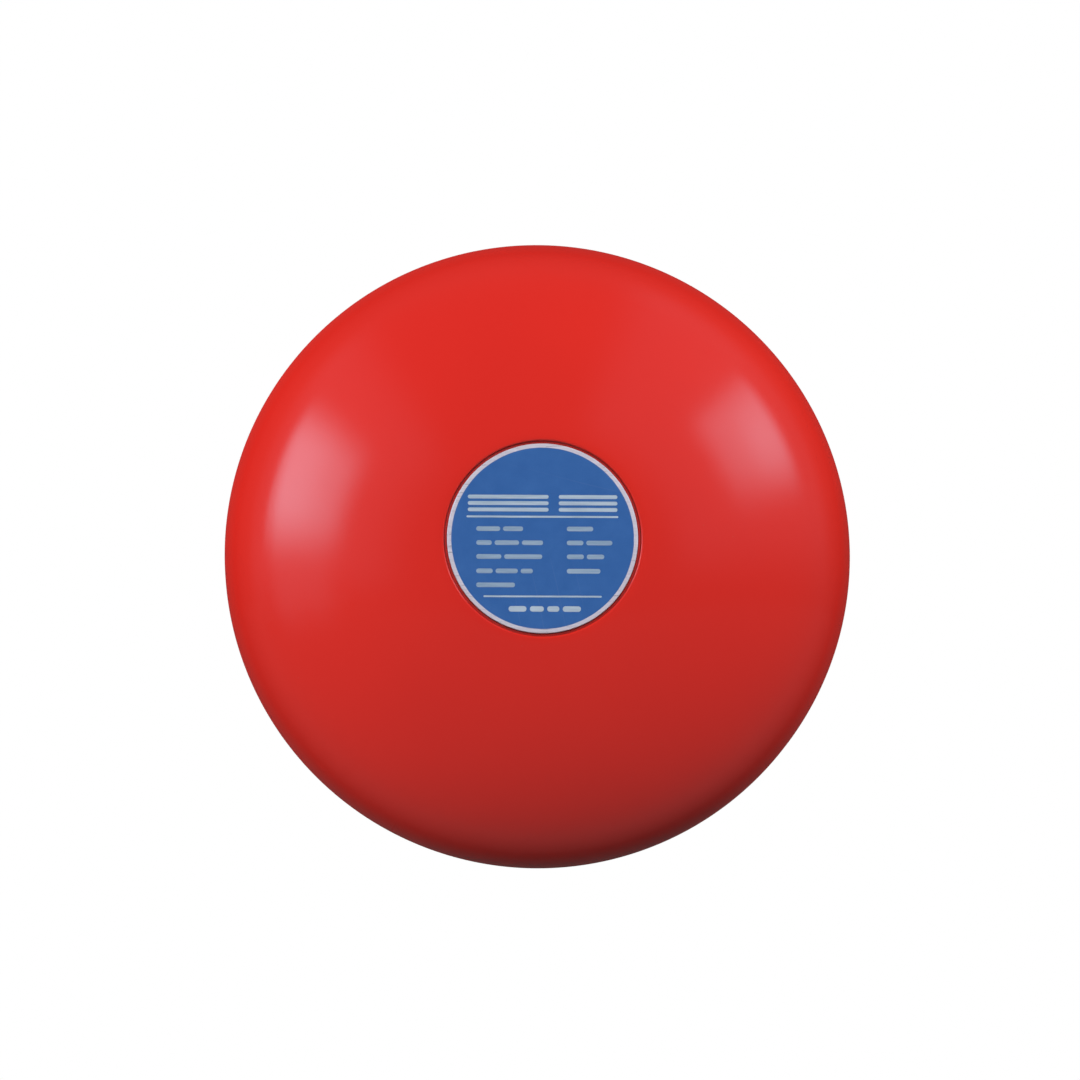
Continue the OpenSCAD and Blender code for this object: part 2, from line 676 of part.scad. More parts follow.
module circuit_board() color([0.10, 0.36, 0.18]) raise(board_z) difference() {
    linear_extrude(board_t)
        polygon(rounded([[-14, 10, 1.5], [20, 10, 1.5], [20, 28, 1.5], [-14, 28, 1.5]]));
    raise(-1) at_board_screws() cylinder(r = 1.25, h = 4);
}

module board_screws() color(zinc) raise(board_top) at_board_screws()
    pan_screw(board_pilot, length = 4.5, head_r = 2, head_h = 1.4);

module terminal_block() color([0.08, 0.42, 0.22]) at_block() difference() {
    // drawn as [x, height]
    rotate([90, 0, 0]) mirror([0, 0, 1]) linear_extrude(10.2)
        polygon([[0, 0], [8.1, 0], [8.1, 6.5], [6.6, 9.8], [1.5, 9.8], [0.6, 6.5], [0.6, 5],
            [0, 5]]);
    at_ways() {
        // screw hole, then the wire opening in the left side and the space for the clamp
        translate([clamp_x, 0, 5.9]) cylinder(r = 1.95, h = 6);
        translate([-1, -1.5, 1.3]) cube([7, 3, 3.4]);
        translate([2, -1.5, 1.3]) cube([4, 3, 4.7]);
    }
}

module terminal_screws() color([0.85, 0.85, 0.86]) at_block() at_ways()
    translate([clamp_x, 0, 0]) difference() {
        union() {
            raise(6.02) cylinder(r = 1.8, h = 2.2);
            raise(4.8) cylinder(r = 1.2, h = 1.4);
        }
        translate([-3, -0.25, 7.3]) cube([6, 0.5, 2]);
    }

module terminal_clamps() color([0.75, 0.75, 0.7]) at_block() at_ways()
    translate([2.1, -1.4, 1.4]) difference() {
        cube([3.7, 2.8, 3.3]);
        translate([-1, 0.4, 0.5]) cube([6, 2, 2.3]);
    }

diode_h = 1.6;                          // height of the diode's axis above the board
diode_legs_x = [1, 11];
diode_wire_r = 0.38;

module diode() color([0.08, 0.08, 0.08]) translate([0, 18.2, board_top]) {
    for (x = diode_legs_x) translate([x, 0, 0]) {
        cylinder(r = diode_wire_r, h = diode_h);
        raise(diode_h) sphere(r = diode_wire_r);
    }
    translate([diode_legs_x[0], 0, diode_h]) rotate([0, 90, 0])
        cylinder(r = diode_wire_r, h = diode_legs_x[1] - diode_legs_x[0]);
    translate([3.4, 0, diode_h]) rotate([0, 90, 0])
        turned([[0, 0, 0], [1.35, 0, 0.3], [1.35, 5.2, 0.3], [0, 5.2, 0]]);
}

module capacitor() color([0.75, 0.55, 0.1]) raise(board_top) {
    for (x = [3.5, 8.5]) translate([x, 24, 0]) cylinder(r = 0.3, h = 2);
    translate([2.4, 22.6, 0.6]) rotate([90, 0, 90]) linear_extrude(7.2)
        polygon(rounded([[0, 0, 0.4], [2.8, 0, 0.4], [2.8, 6.4, 0.6], [0, 6.4, 0.6]]));
}

module varistor() color([0.15, 0.3, 0.6]) raise(board_top) {
    for (y = [14.5, 19.5]) translate([15, y, 0]) cylinder(r = 0.35, h = 4);
    translate([13.4, 17, 5.4]) rotate([0, 90, 0])
        turned([[0, 0, 0], [3.9, 0, 1.2], [3.9, 3.2, 1.2], [0, 3.2, 0]]);
}

lead_r = 0.7;
lead_sides = 10;

// Points [x, y, z] from the board to a motor terminal, where side is 1 (right) or -1 (left).
function lead_path(side) = concat([[side * 8.6, 11.6, board_top + 0.02]], spline([
    [side * 8.6, 11.6, board_top + 0.5], [side * 8.7, 11.2, board_top + 1.7],
    [side * 10, 6.5, board_top + 0.9], [side * 12.4, 0.5, 9.4], [side * 12, -7, 8.3],
    [side * 8.2, -12.6, 7.9], [side * terminal_x, -16.2, 7.9],
    [side * terminal_x, motor_y + 3.12, 7.9]], 3));

// A round lead swept along its path as one closed skin.
module lead(side) {
    path = lead_path(side);
    last = len(path) - 1;
    skin([for (i = [0:last])
        let (along = path[min(i + 1, last)] - path[max(i - 1, 0)],
             across = cross(along, [1, 0, 0]), u = across / norm(across),
             over = cross(u, along), v = over / norm(over))
        for (k = [0:lead_sides - 1]) let (a = k * 360 / lead_sides)
            path[i] + lead_r * (cos(a) * u + sin(a) * v)], lead_sides);
}

module motor_lead_red() color([0.7, 0.05, 0.04]) lead(1);
module motor_lead_black() color([0.05, 0.05, 0.05]) lead(-1);

place() gong();
place() nameplate();
place() gong_nut();
place() lock_washer();
place() flat_washer();
place() front_rubber_washer();
place() rear_rubber_grommet();
place() centre_post();
place() post_screw();
place() back_plate();
place() base_screws();
place() cable_grommet();
place() mechanism_housing();
place() housing_cover();
place() cover_screws();
place() motor_can();
place() motor_end_cap();
place() motor_magnets();
place() front_bearing();
place() rear_bearing();
place() brush_arms();
place() carbon_brushes();
place() motor_terminals();
place() motor_bracket();
place() motor_screws();
place() bracket_screws();
place() rotor_shaft();
place() rotor_core();
place() rotor_windings();
place() commutator();
place() commutator_sleeve();
place() eccentric();
place() roller_retainer();
place() cam_roller();
place() striker_rod();
place() striker_foot();
place() striker_tip();
place() stop_washer();
place() retaining_clip();
place() return_spring();
place() guide_bush();
place() circuit_board();
place() board_screws();
place() terminal_block();
place() terminal_screws();
place() terminal_clamps();
place() diode();
place() capacitor();
place() varistor();
place() motor_lead_red();
place() motor_lead_black();
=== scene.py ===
# A motor-driven wall bell: a red gong with a printed nameplate, and behind the gong a striker's
# return spring, the motor leads and the rotor windings.
# In the scene x is right, z is up and -y points out of the wall, in metres. Shapes are drawn in
# local millimetres: x right, y up, z out of the wall. The bell's axis is x = y = 0.
import json
import math
import random

import bmesh
import bpy
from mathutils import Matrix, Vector

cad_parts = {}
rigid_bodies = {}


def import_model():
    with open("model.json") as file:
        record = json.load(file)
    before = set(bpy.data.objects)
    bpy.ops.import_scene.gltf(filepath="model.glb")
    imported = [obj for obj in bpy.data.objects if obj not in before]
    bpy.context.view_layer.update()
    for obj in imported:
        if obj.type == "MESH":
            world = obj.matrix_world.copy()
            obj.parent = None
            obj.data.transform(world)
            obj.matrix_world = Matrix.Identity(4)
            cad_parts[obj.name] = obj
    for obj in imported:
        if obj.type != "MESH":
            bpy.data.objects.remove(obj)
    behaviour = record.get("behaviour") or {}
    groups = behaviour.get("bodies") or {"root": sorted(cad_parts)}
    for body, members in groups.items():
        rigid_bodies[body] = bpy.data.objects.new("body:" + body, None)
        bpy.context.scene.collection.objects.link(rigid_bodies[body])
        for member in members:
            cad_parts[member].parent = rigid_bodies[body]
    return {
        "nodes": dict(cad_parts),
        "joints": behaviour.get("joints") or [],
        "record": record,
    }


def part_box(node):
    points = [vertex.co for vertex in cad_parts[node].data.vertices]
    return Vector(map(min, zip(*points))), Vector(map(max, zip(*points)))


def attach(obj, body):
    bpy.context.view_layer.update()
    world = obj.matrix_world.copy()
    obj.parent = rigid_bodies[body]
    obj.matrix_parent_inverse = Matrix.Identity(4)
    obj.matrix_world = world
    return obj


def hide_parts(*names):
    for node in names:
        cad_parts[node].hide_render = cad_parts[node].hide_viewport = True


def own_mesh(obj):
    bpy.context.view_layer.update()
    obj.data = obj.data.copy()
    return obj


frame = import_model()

MM = 0.001
rng = random.Random(7)

# The factory start-up objects are not part of the scene.
for ob in list(bpy.context.scene.objects):
    if ob.name in ("Cube", "Light", "Camera"):
        bpy.data.objects.remove(ob)
bpy.context.view_layer.update()


# ---------------------------------------------------------------- mesh helpers
def place(x, y, z):
    """Local millimetres to scene metres."""
    return (x * MM, -z * MM, y * MM)


def link_object(name, data):
    ob = bpy.data.objects.new(name, data)
    bpy.context.scene.collection.objects.link(ob)
    return ob


def mesh_object(name, verts, faces, material, body=None, smooth=35.0, slot=None, replaces=None):
    """A smooth-shaded mesh that keeps edges of more than smooth degrees sharp. It rides on a
    body, and can take the place of a CAD piece. The slot argument is not used."""
    mesh = bpy.data.meshes.new(name)
    mesh.from_pydata(verts, [], faces)
    bm = bmesh.new()
    bm.from_mesh(mesh)
    bmesh.ops.recalc_face_normals(bm, faces=bm.faces)
    bm.to_mesh(mesh)
    bm.free()
    mesh.materials.append(material)
    mesh.polygons.foreach_set("use_smooth", [True] * len(mesh.polygons))
    mesh.set_sharp_from_angle(angle=math.radians(smooth))
    mesh.update()
    ob = link_object(name, mesh)
    if body:
        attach(ob, body)
    if replaces:
        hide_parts(replaces)
    return ob


def corner_arc(before, corner, after, radius, steps):
    """Points of the arc that rounds the corner between its two neighbours."""
    before, corner, after = Vector(before), Vector(corner), Vector(after)
    to_before, to_after = (before - corner).normalized(), (after - corner).normalized()
    half = math.acos(max(-1, min(1, to_before.dot(to_after)))) / 2
    centre = corner + (to_before + to_after).normalized() * (radius / math.sin(half))
    start = corner + to_before * (radius / math.tan(half)) - centre
    end = corner + to_after * (radius / math.tan(half)) - centre
    angle = math.atan2(start.y, start.x)
    turn = (math.atan2(end.y, end.x) - angle + math.pi) % (2 * math.pi) - math.pi
    return [(centre.x + radius * math.cos(angle + turn * i / steps),
             centre.y + radius * math.sin(angle + turn * i / steps)) for i in range(steps + 1)]


def rounded(points, steps):
    """An open outline. A third number at an inner point rounds it to that radius."""
    out = []
    for i, point in enumerate(points):
        if len(point) > 2:
            out += corner_arc(points[i - 1][:2], point[:2], points[i + 1][:2], point[2], steps)
        else:
            out.append(point)
    return out


def split_long(profile, step, closed):
    """Adds points along long straight stretches, so shading and faces stay even."""
    out = []
    count = len(profile)
    for i in range(count if closed else count - 1):
        a, b = profile[i], profile[(i + 1) % count]
        n = max(1, int(math.ceil(math.hypot(b[0] - a[0], b[1] - a[1]) / step)))
        out += [(a[0] + (b[0] - a[0]) * j / n, a[1] + (b[1] - a[1]) * j / n) for j in range(n)]
    if not closed:
        out.append(profile[-1])
    return out


def lathe(name, profile, step, segments, closed, **options):
    """Turns (radius, z) points round the bell's axis. Points on the axis become poles."""
    verts, rings = [], []
    for radius, z in split_long(profile, step, closed):
        count = 1 if radius < 1e-6 else segments
        rings.append(range(len(verts), len(verts) + count))
        if count == 1:
            verts.append(place(0.0, 0.0, z))
            continue
        for i in range(segments):
            angle = 2 * math.pi * i / segments
            verts.append(place(radius * math.cos(angle), radius * math.sin(angle), z))
    faces = []
    for j in range(len(rings) if closed else len(rings) - 1):
        a, b = rings[j], rings[(j + 1) % len(rings)]
        for i in range(segments):
            k = (i + 1) % segments
            if len(a) == 1:
                faces.append((a[0], b[k], b[i]))
            elif len(b) == 1:
                faces.append((a[i], a[k], b[0]))
            else:
                faces.append((a[i], a[k], b[k], b[i]))
    return mesh_object(name, verts, faces, body="base", **options)


# ---------------------------------------------------------------- node helpers
class Tree:
    """The node tree of a material or world, built up in a few words."""

    def __init__(self, owner, output="ShaderNodeOutputMaterial"):
        owner.use_nodes = True
        self.owner = owner
        self.tree = owner.node_tree
        self.tree.nodes.clear()
        self.out = self.add(output)
        self.coord = None

    def add(self, kind, inputs=None, **settings):
        """A node with its settings, and its inputs by name or number."""
        node = self.tree.nodes.new(kind)
        for key, value in settings.items():
            setattr(node, key, value)
        for key, value in (inputs or {}).items():
            socket = node.inputs[key]
            if isinstance(value, bpy.types.NodeSocket):
                self.tree.links.new(value, socket)
            elif socket.type == "RGBA" and len(value) == 3:
                socket.default_value = tuple(value) + (1,)
            else:
                socket.default_value = value
        return node

    def surface(self, shader):
        self.tree.links.new(shader, self.out.inputs["Surface"])

    def math(self, operation, a, b=0.0):
        return self.add("ShaderNodeMath", {0: a, 1: b}, operation=operation).outputs[0]

    def plus(self, a, b):
        return self.math("ADD", a, b)

    def times(self, a, b):
        return self.math("MULTIPLY", a, b)

    def mapping(self, scale=(1, 1, 1), turn=(0, 0, 0), shift=(0, 0, 0)):
        """Object coordinates, scaled, turned and shifted."""
        if self.coord is None:
            self.coord = self.add("ShaderNodeTexCoord")
        return self.add("ShaderNodeMapping", {
            "Vector": self.coord.outputs["Object"],
            "Scale": scale, "Rotation": turn, "Location": shift}).outputs[0]

    def split(self, vector):
        """The X, Y and Z outputs of a vector."""
        return self.add("ShaderNodeSeparateXYZ", {0: vector}).outputs

    def noise(self, per_m, detail=3.0, rough=0.55, distort=0.0, vector=None, stretch=(1, 1, 1)):
        if vector is None:
            vector = self.mapping(stretch)
        return self.add("ShaderNodeTexNoise", {
            "Vector": vector, "Scale": per_m, "Detail": detail,
            "Roughness": rough, "Distortion": distort}).outputs["Fac"]

    def voronoi(self, per_m, out="Distance"):
        return self.add("ShaderNodeTexVoronoi", {
            "Vector": self.mapping(), "Scale": per_m}).outputs[out]

    def span(self, value, over, to=(0.0, 1.0)):
        """A value within the range over, mapped to the range to and clamped."""
        return self.add("ShaderNodeMapRange", {
            "Value": value, "From Min": over[0], "From Max": over[1],
            "To Min": to[0], "To Max": to[1]}).outputs[0]

    def uneven(self, per_m, over=(0.3, 0.7), to=(0.0, 1.0), **noise):
        """Noise whose range over is mapped to the range to."""
        return self.span(self.noise(per_m, **noise), over, to)

    def mix(self, factor, a, b, mode="MIX"):
        """Colour a, going over to colour b with the factor."""
        return self.add("ShaderNodeMix", {0: factor, 6: a, 7: b},
                        data_type="RGBA", blend_type=mode).outputs[2]

    def bump(self, height, strength, distance_mm, normal=None):
        inputs = {"Strength": strength, "Distance": distance_mm * MM, "Height": height}
        if normal is not None:
            inputs["Normal"] = normal
        return self.add("ShaderNodeBump", inputs).outputs[0]

    def soft_edges(self, radius_mm):
        return self.add("ShaderNodeBevel", {"Radius": radius_mm * MM}, samples=4).outputs[0]

    def edge_mask(self, radius_mm, over=(0.0, 0.12)):
        """About 1 at sharp edges and 0 on open faces."""
        bevel = self.soft_edges(radius_mm)
        geometry = self.add("ShaderNodeNewGeometry")
        dot = self.add("ShaderNodeVectorMath", {0: bevel, 1: geometry.outputs["Normal"]},
                       operation="DOT_PRODUCT")
        return self.span(self.math("SUBTRACT", 1.0, dot.outputs["Value"]), over)

    def crevice(self, distance_mm, bare, deep):
        """0 where the occlusion value is at bare, 1 in gaps where it falls to deep."""
        node = self.add("ShaderNodeAmbientOcclusion", {"Distance": distance_mm * MM}, samples=8)
        return self.span(node.outputs["AO"], over=(bare, deep))

    def scratches(self, sets, width):
        """Thin broken lines across the face, in sets of (angle, density)."""
        wander, line_density = 2.2, 3.1
        total = None
        for angle, density in sets:
            vector = self.mapping(turn=(0, angle, 0))
            warp = self.noise(per_m=9, detail=2.0, vector=vector)
            x = self.plus(self.times(self.split(vector)["X"], density * line_density),
                          self.times(warp, wander))
            line = self.math("ABSOLUTE", self.math("SUBTRACT", self.math("FRACT", x), 0.5))
            line = self.span(line, over=(width, width * 0.3))
            breaks = self.mapping(turn=(0, angle + 0.4, 0), shift=(angle, angle, 0))
            gate = self.uneven(per_m=17, detail=1.0, vector=breaks, over=(0.60, 0.66))
            line = self.times(line, gate)
            total = line if total is None else self.math("MAXIMUM", total, line)
        return total

    def principled(self, **inputs):
        """Ends the tree in a principled shader. Input names have _ for a space."""
        named = {key.replace("_", " "): value for key, value in inputs.items()}
        self.surface(self.add("ShaderNodeBsdfPrincipled", named).outputs[0])
        return self.owner

    def mix_shader(self, factor, a, b):
        return self.add("ShaderNodeMixShader", {
            0: factor, 1: a.outputs[0], 2: b.outputs[0]})

    def add_shader(self, a, b):
        return self.add("ShaderNodeAddShader", {0: a.outputs[0], 1: b.outputs[0]})


def material_tree(name):
    return Tree(bpy.data.materials.get(name) or bpy.data.materials.new(name))


# ---------------------------------------------------------------- materials
def red_enamel():
    """Glossy red paint with orange peel, dust specks, worn edges, hairline scuffs and painted
    shade in the gap round the nameplate.
    """
    t = material_tree("red_enamel")
    tone = t.uneven(per_m=14, detail=2.0, over=(0.35, 0.65))
    peel = t.noise(per_m=620, detail=2.0, rough=0.5)
    peel_fine = t.noise(per_m=2300, detail=2.0, rough=0.5)
    col = t.mix(tone, (0.640, 0.0150, 0.0085), (0.665, 0.0170, 0.0095))
    # dust and tiny inclusions in the paint, in a few of the cells only
    specks = t.voronoi(per_m=420)
    cell = t.add("ShaderNodeSeparateColor", {0: t.voronoi(per_m=420, out="Color")}).outputs[0]
    pick = t.math("GREATER_THAN", cell, 0.93)
    speck = t.times(t.span(specks, over=(0.075, 0.045)), pick)
    col = t.mix(t.times(speck, 0.35), col, (0.50, 0.060, 0.045))
    # the paint wears thin on the sharp rim and on the recess edge
    edge = t.edge_mask(radius_mm=0.5, over=(0.02, 0.25))
    chips = t.times(edge, t.uneven(per_m=900, detail=4.0, rough=0.7, over=(0.66, 0.72)))
    col = t.mix(chips, col, (0.22, 0.035, 0.028))
    # painted shade: the paint darkens unevenly in the gap round the nameplate, where the
    # occlusion is low
    gap_shade = t.crevice(distance_mm=1.6, bare=0.80, deep=0.30)
    gap_shade = t.times(gap_shade, t.uneven(per_m=500, over=(0.2, 0.7), to=(0.65, 0.95)))
    col = t.mix(gap_shade, col, (0.105, 0.016, 0.016))
    # faint hairline scuffs
    scuff = t.scratches(sets=((0.35, 26.0), (1.15, 17.0), (-0.6, 21.0)), width=0.018)
    rough = t.plus(t.uneven(per_m=35, to=(0.30, 0.36)), t.times(scuff, 0.10))
    height = t.plus(t.times(peel, 1.0), t.times(peel_fine, 0.18))
    normal = t.bump(height, strength=0.10, distance_mm=0.05)
    normal = t.bump(speck, strength=0.25, distance_mm=0.02, normal=normal)
    coat_rough = t.plus(t.uneven(per_m=24, detail=4.0, to=(0.115, 0.15)), t.times(scuff, 0.12))
    # the orange peel breaks the gloss up where the paint is seen edge on
    facing = t.add("ShaderNodeLayerWeight", {"Blend": 0.5}).outputs["Facing"]
    coat = t.span(facing, over=(0.62, 0.97), to=(1.0, 0.30))
    return t.principled(Base_Color=col, Roughness=rough, Specular_IOR_Level=0.05, Normal=normal,
                        Coat_Weight=coat, Coat_IOR=1.5, Coat_Roughness=coat_rough,
                        Coat_Normal=normal)


def metal(name, base, tone, rough, grain=900, bump=0.06, edge=(0.9, 0.9, 0.9)):
    """Bare or plated metal: two tones, uneven roughness, a fine grain (per metre) and
    brighter worn edges."""
    t = material_tree(name)
    col = t.mix(t.uneven(per_m=55, detail=4.0, rough=0.6, distort=0.6), base, tone)
    worn = t.times(t.edge_mask(radius_mm=0.25),
                   t.uneven(per_m=1400, detail=2.0, over=(0.35, 0.6)))
    col = t.mix(worn, col, edge)
    grains = t.noise(grain, rough=0.6)
    roughness = t.plus(t.uneven(per_m=180, detail=4.0, to=rough),
                       t.span(grains, over=(0.3, 0.7), to=(-0.03, 0.05)))
    normal = t.bump(grains, bump, distance_mm=0.05, normal=t.soft_edges(radius_mm=0.12))
    return t.principled(Base_Color=col, Metallic=1.0, Roughness=roughness, Normal=normal)


def zinc_plate():
    """Bright zinc plating on rolled sheet: soft blue and straw tints, fine rolling lines,
    small scuffs, and painted shade that darkens the crevices, which are also rougher."""
    t = material_tree("zinc_steel")
    blue = t.uneven(per_m=34, rough=0.5, distort=0.4, over=(0.32, 0.68))
    col = t.mix(blue, (0.64, 0.66, 0.70), (0.70, 0.70, 0.69))
    elsewhere = t.mapping(turn=(0.3, 0.2, 0.5), shift=(4, 2, 1))
    straw = t.uneven(per_m=21, detail=2.0, rough=0.5, distort=0.8, vector=elsewhere,
                     over=(0.52, 0.72), to=(0.0, 0.35))
    col = t.mix(straw, col, (0.70, 0.66, 0.56))
    # painted shade: the colour darkens in crevices where the occlusion is low, and the same mask
    # makes them rougher
    crevice_shade_and_dullness = t.times(t.crevice(distance_mm=1.4, bare=0.8, deep=0.35), 0.6)
    col = t.mix(crevice_shade_and_dullness, col, (0.22, 0.21, 0.20))
    worn = t.times(t.edge_mask(radius_mm=0.2, over=(0.02, 0.2)),
                   t.uneven(per_m=1400, detail=2.0, over=(0.35, 0.6), to=(0.2, 0.8)))
    col = t.mix(worn, col, (0.88, 0.89, 0.90))
    lines = t.noise(per_m=1100, detail=1.0, rough=0.5, stretch=(0.035, 1, 1))
    grain = t.noise(per_m=640, detail=1.0, rough=0.5)
    scuff = t.scratches(sets=((0.5, 34.0), (1.9, 27.0), (-0.9, 30.0), (2.6, 40.0)), width=0.02)
    rough = t.plus(t.uneven(per_m=60, detail=4.0, to=(0.25, 0.36)),
                   t.span(grain, over=(0.3, 0.7), to=(-0.01, 0.02)))
    rough = t.plus(rough, t.times(scuff, 0.04))
    rough = t.plus(rough, t.times(crevice_shade_and_dullness, 0.25))
    height = t.plus(t.times(lines, 0.6), t.times(grain, 0.4))
    normal = t.bump(height, strength=0.035, distance_mm=0.05,
                    normal=t.soft_edges(radius_mm=0.12))
    return t.principled(Base_Color=col, Metallic=1.0, Roughness=rough, Normal=normal)


def plastic(name, base, tone, rough, grain, bump, depth, edge_light=0.12, coat=0.0, **extra):
    """Moulded plastic with a fine tool texture (grain per metre, depth in mm), slight flow
    marks and edges rubbed lighter. Extra values go to the shader."""
    t = material_tree(name)
    col = t.mix(t.uneven(per_m=70), base, tone)
    rub = t.times(t.edge_mask(radius_mm=0.3),
                  t.uneven(per_m=700, over=(0.4, 0.65), to=(0.0, edge_light)))
    col = t.mix(rub, col, (0.55, 0.55, 0.55))
    grains = t.noise(grain, rough=0.6)
    cells = t.voronoi(grain * 0.7)
    height = t.plus(t.times(grains, 0.7), t.times(cells, 0.3))
    roughness = t.uneven(per_m=220, to=rough)
    normal = t.bump(height, bump, depth, t.soft_edges(radius_mm=0.15))
    return t.principled(Base_Color=col, Roughness=roughness, Specular_IOR_Level=0.45,
                        Normal=normal, Coat_Weight=coat, Coat_Roughness=0.12, **extra)


def rubber(name, base, bloom):
    """Dull rubber with a patchy paler bloom."""
    t = material_tree(name)
    patches = t.uneven(per_m=260, detail=5.0, rough=0.7, over=(0.45, 0.75))
    col = t.mix(patches, base, bloom)
    normal = t.bump(t.noise(per_m=3200), strength=0.3, distance_mm=0.03,
                    normal=t.soft_edges(radius_mm=0.2))
    return t.principled(Base_Color=col, Roughness=t.uneven(per_m=300, to=(0.62, 0.8)),
                        Specular_IOR_Level=0.35, Normal=normal)


def core_steel():
    """Stack of thin punched sheets, seen as fine lines across the axis."""
    sheets_per_m = 2000.0
    t = material_tree("core_steel")
    sheet = t.math("FRACT", t.times(t.split(t.mapping())["Y"], sheets_per_m))
    gap = t.span(t.math("ABSOLUTE", t.math("SUBTRACT", sheet, 0.5)), over=(0.38, 0.48))
    col = t.mix(gap, (0.36, 0.36, 0.38), (0.10, 0.10, 0.11))
    normal = t.bump(t.math("SUBTRACT", 1.0, gap), strength=0.5, distance_mm=0.04,
                    normal=t.soft_edges(radius_mm=0.08))
    return t.principled(Base_Color=col, Metallic=0.9,
                        Roughness=t.uneven(per_m=300, to=(0.35, 0.5)), Normal=normal)


def copper_wire():
    """Enamelled copper: clear amber lacquer of slightly uneven depth over bright wire."""
    t = material_tree("copper_wire")
    lacquer = t.uneven(per_m=420, detail=4.0, rough=0.6)
    col = t.mix(lacquer, (0.42, 0.130, 0.040), (0.66, 0.245, 0.080))
    dark = t.uneven(per_m=90, detail=2.0, over=(0.55, 0.75), to=(0.0, 0.5))
    col = t.mix(dark, col, (0.30, 0.085, 0.030))
    normal = t.bump(t.noise(per_m=2600, rough=0.6), strength=0.12, distance_mm=0.03)
    return t.principled(Base_Color=col, Metallic=0.85,
                        Roughness=t.uneven(per_m=500, to=(0.22, 0.34)),
                        Normal=normal, Coat_Weight=0.5)


def circuit_green():
    """Solder resist over copper tracks."""
    t = material_tree("board_green")
    flat = t.mapping(scale=(1, 0, 1))
    nearest, second = [
        t.add("ShaderNodeTexVoronoi", {"Scale": 330.0, "Randomness": 0.75, "Vector": flat},
              feature=feature, distance="CHEBYCHEV").outputs["Distance"]
        for feature in ("F1", "F2")]
    # copper areas under the resist, parted by narrow gaps
    gap = t.span(t.math("SUBTRACT", second, nearest), over=(0.12, 0.07))
    col = t.mix(gap, (0.018, 0.135, 0.052), (0.010, 0.080, 0.032))
    col = t.mix(t.uneven(per_m=160, over=(0.4, 0.7), to=(0.0, 0.3)), col, (0.025, 0.165, 0.065))
    normal = t.bump(t.math("SUBTRACT", 1.0, gap), strength=0.5, distance_mm=0.035,
                    normal=t.soft_edges(radius_mm=0.08))
    return t.principled(Base_Color=col, Roughness=t.uneven(per_m=240, to=(0.22, 0.34)),
                        Normal=normal, Coat_Weight=0.3)


PLATE_LO, PLATE_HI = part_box("nameplate")
PLATE_R = (PLATE_HI.x - PLATE_LO.x) / 2 / MM
PLATE_TOP = -PLATE_LO.y / MM
PLATE_BOTTOM = -PLATE_HI.y / MM
BORDER = 1.0                                  # width of the bare border of the nameplate


def brushed_grain(t):
    """Fine lines along x."""
    return t.noise(per_m=2600, rough=0.6, stretch=(0.06, 1, 1))


def label_print():
    """Aluminium disc: brushed bare border and edge, blue printed field."""
    ink_r, ink_blur = (PLATE_R - BORDER) * MM, 0.00004
    t = material_tree("label_print")
    axes = t.split(t.mapping())
    r = t.math("SQRT", t.plus(t.math("POWER", axes["X"], 2.0), t.math("POWER", axes["Z"], 2.0)))
    # the printed edge is not perfectly even
    wobble = t.math("SUBTRACT", t.noise(per_m=900, detail=2.0), 0.5)
    r = t.plus(r, t.times(wobble, 0.00008))
    face = t.span(axes["Y"], over=(PLATE_LO.y + 0.00012, PLATE_LO.y + 0.00005))
    ink = t.times(t.span(r, over=(ink_r + ink_blur, ink_r - ink_blur)), face)
    brushed = brushed_grain(t)
    silver = t.mix(t.span(brushed, over=(0.35, 0.65)), (0.68, 0.63, 0.74), (0.78, 0.72, 0.82))
    blue = t.mix(t.uneven(per_m=220, detail=4.0), (0.025, 0.104, 0.330), (0.033, 0.120, 0.362))
    dots = t.span(t.voronoi(per_m=5200), over=(0.18, 0.30), to=(0.88, 1.0))
    # a new colour ramp runs from black to white
    dots = t.add("ShaderNodeValToRGB", {"Fac": dots}).outputs["Color"]
    blue = t.mix(1.0, blue, dots, mode="MULTIPLY")
    scuff = t.scratches(sets=((0.2, 60.0), (1.3, 44.0)), width=0.02)
    blue = t.mix(t.times(scuff, 0.08), blue, (0.25, 0.30, 0.45))
    col = t.mix(ink, silver, blue)
    rough = t.plus(t.span(ink, over=(0.0, 1.0), to=(0.30, 0.42)),
                   t.span(brushed, over=(0.3, 0.7), to=(-0.04, 0.06)))
    normal = t.bump(brushed, strength=0.05, distance_mm=0.03,
                    normal=t.soft_edges(radius_mm=0.12))
    normal = t.bump(ink, strength=0.4, distance_mm=0.02, normal=normal)
    return t.principled(Base_Color=col, Metallic=t.span(ink, over=(0.0, 1.0), to=(0.38, 0.06)),
                        Roughness=rough, Normal=normal, Coat_Weight=0.25, Coat_Roughness=0.2)


def bare_print(name, dark, light):
    """The bare metal that shows through the ink."""
    t = material_tree(name)
    brushed = brushed_grain(t)
    col = t.mix(t.span(brushed, over=(0.35, 0.65)), dark, light)
    return t.principled(Base_Color=col, Metallic=0.35,
                        Roughness=t.span(brushed, over=(0.3, 0.7), to=(0.34, 0.44)))


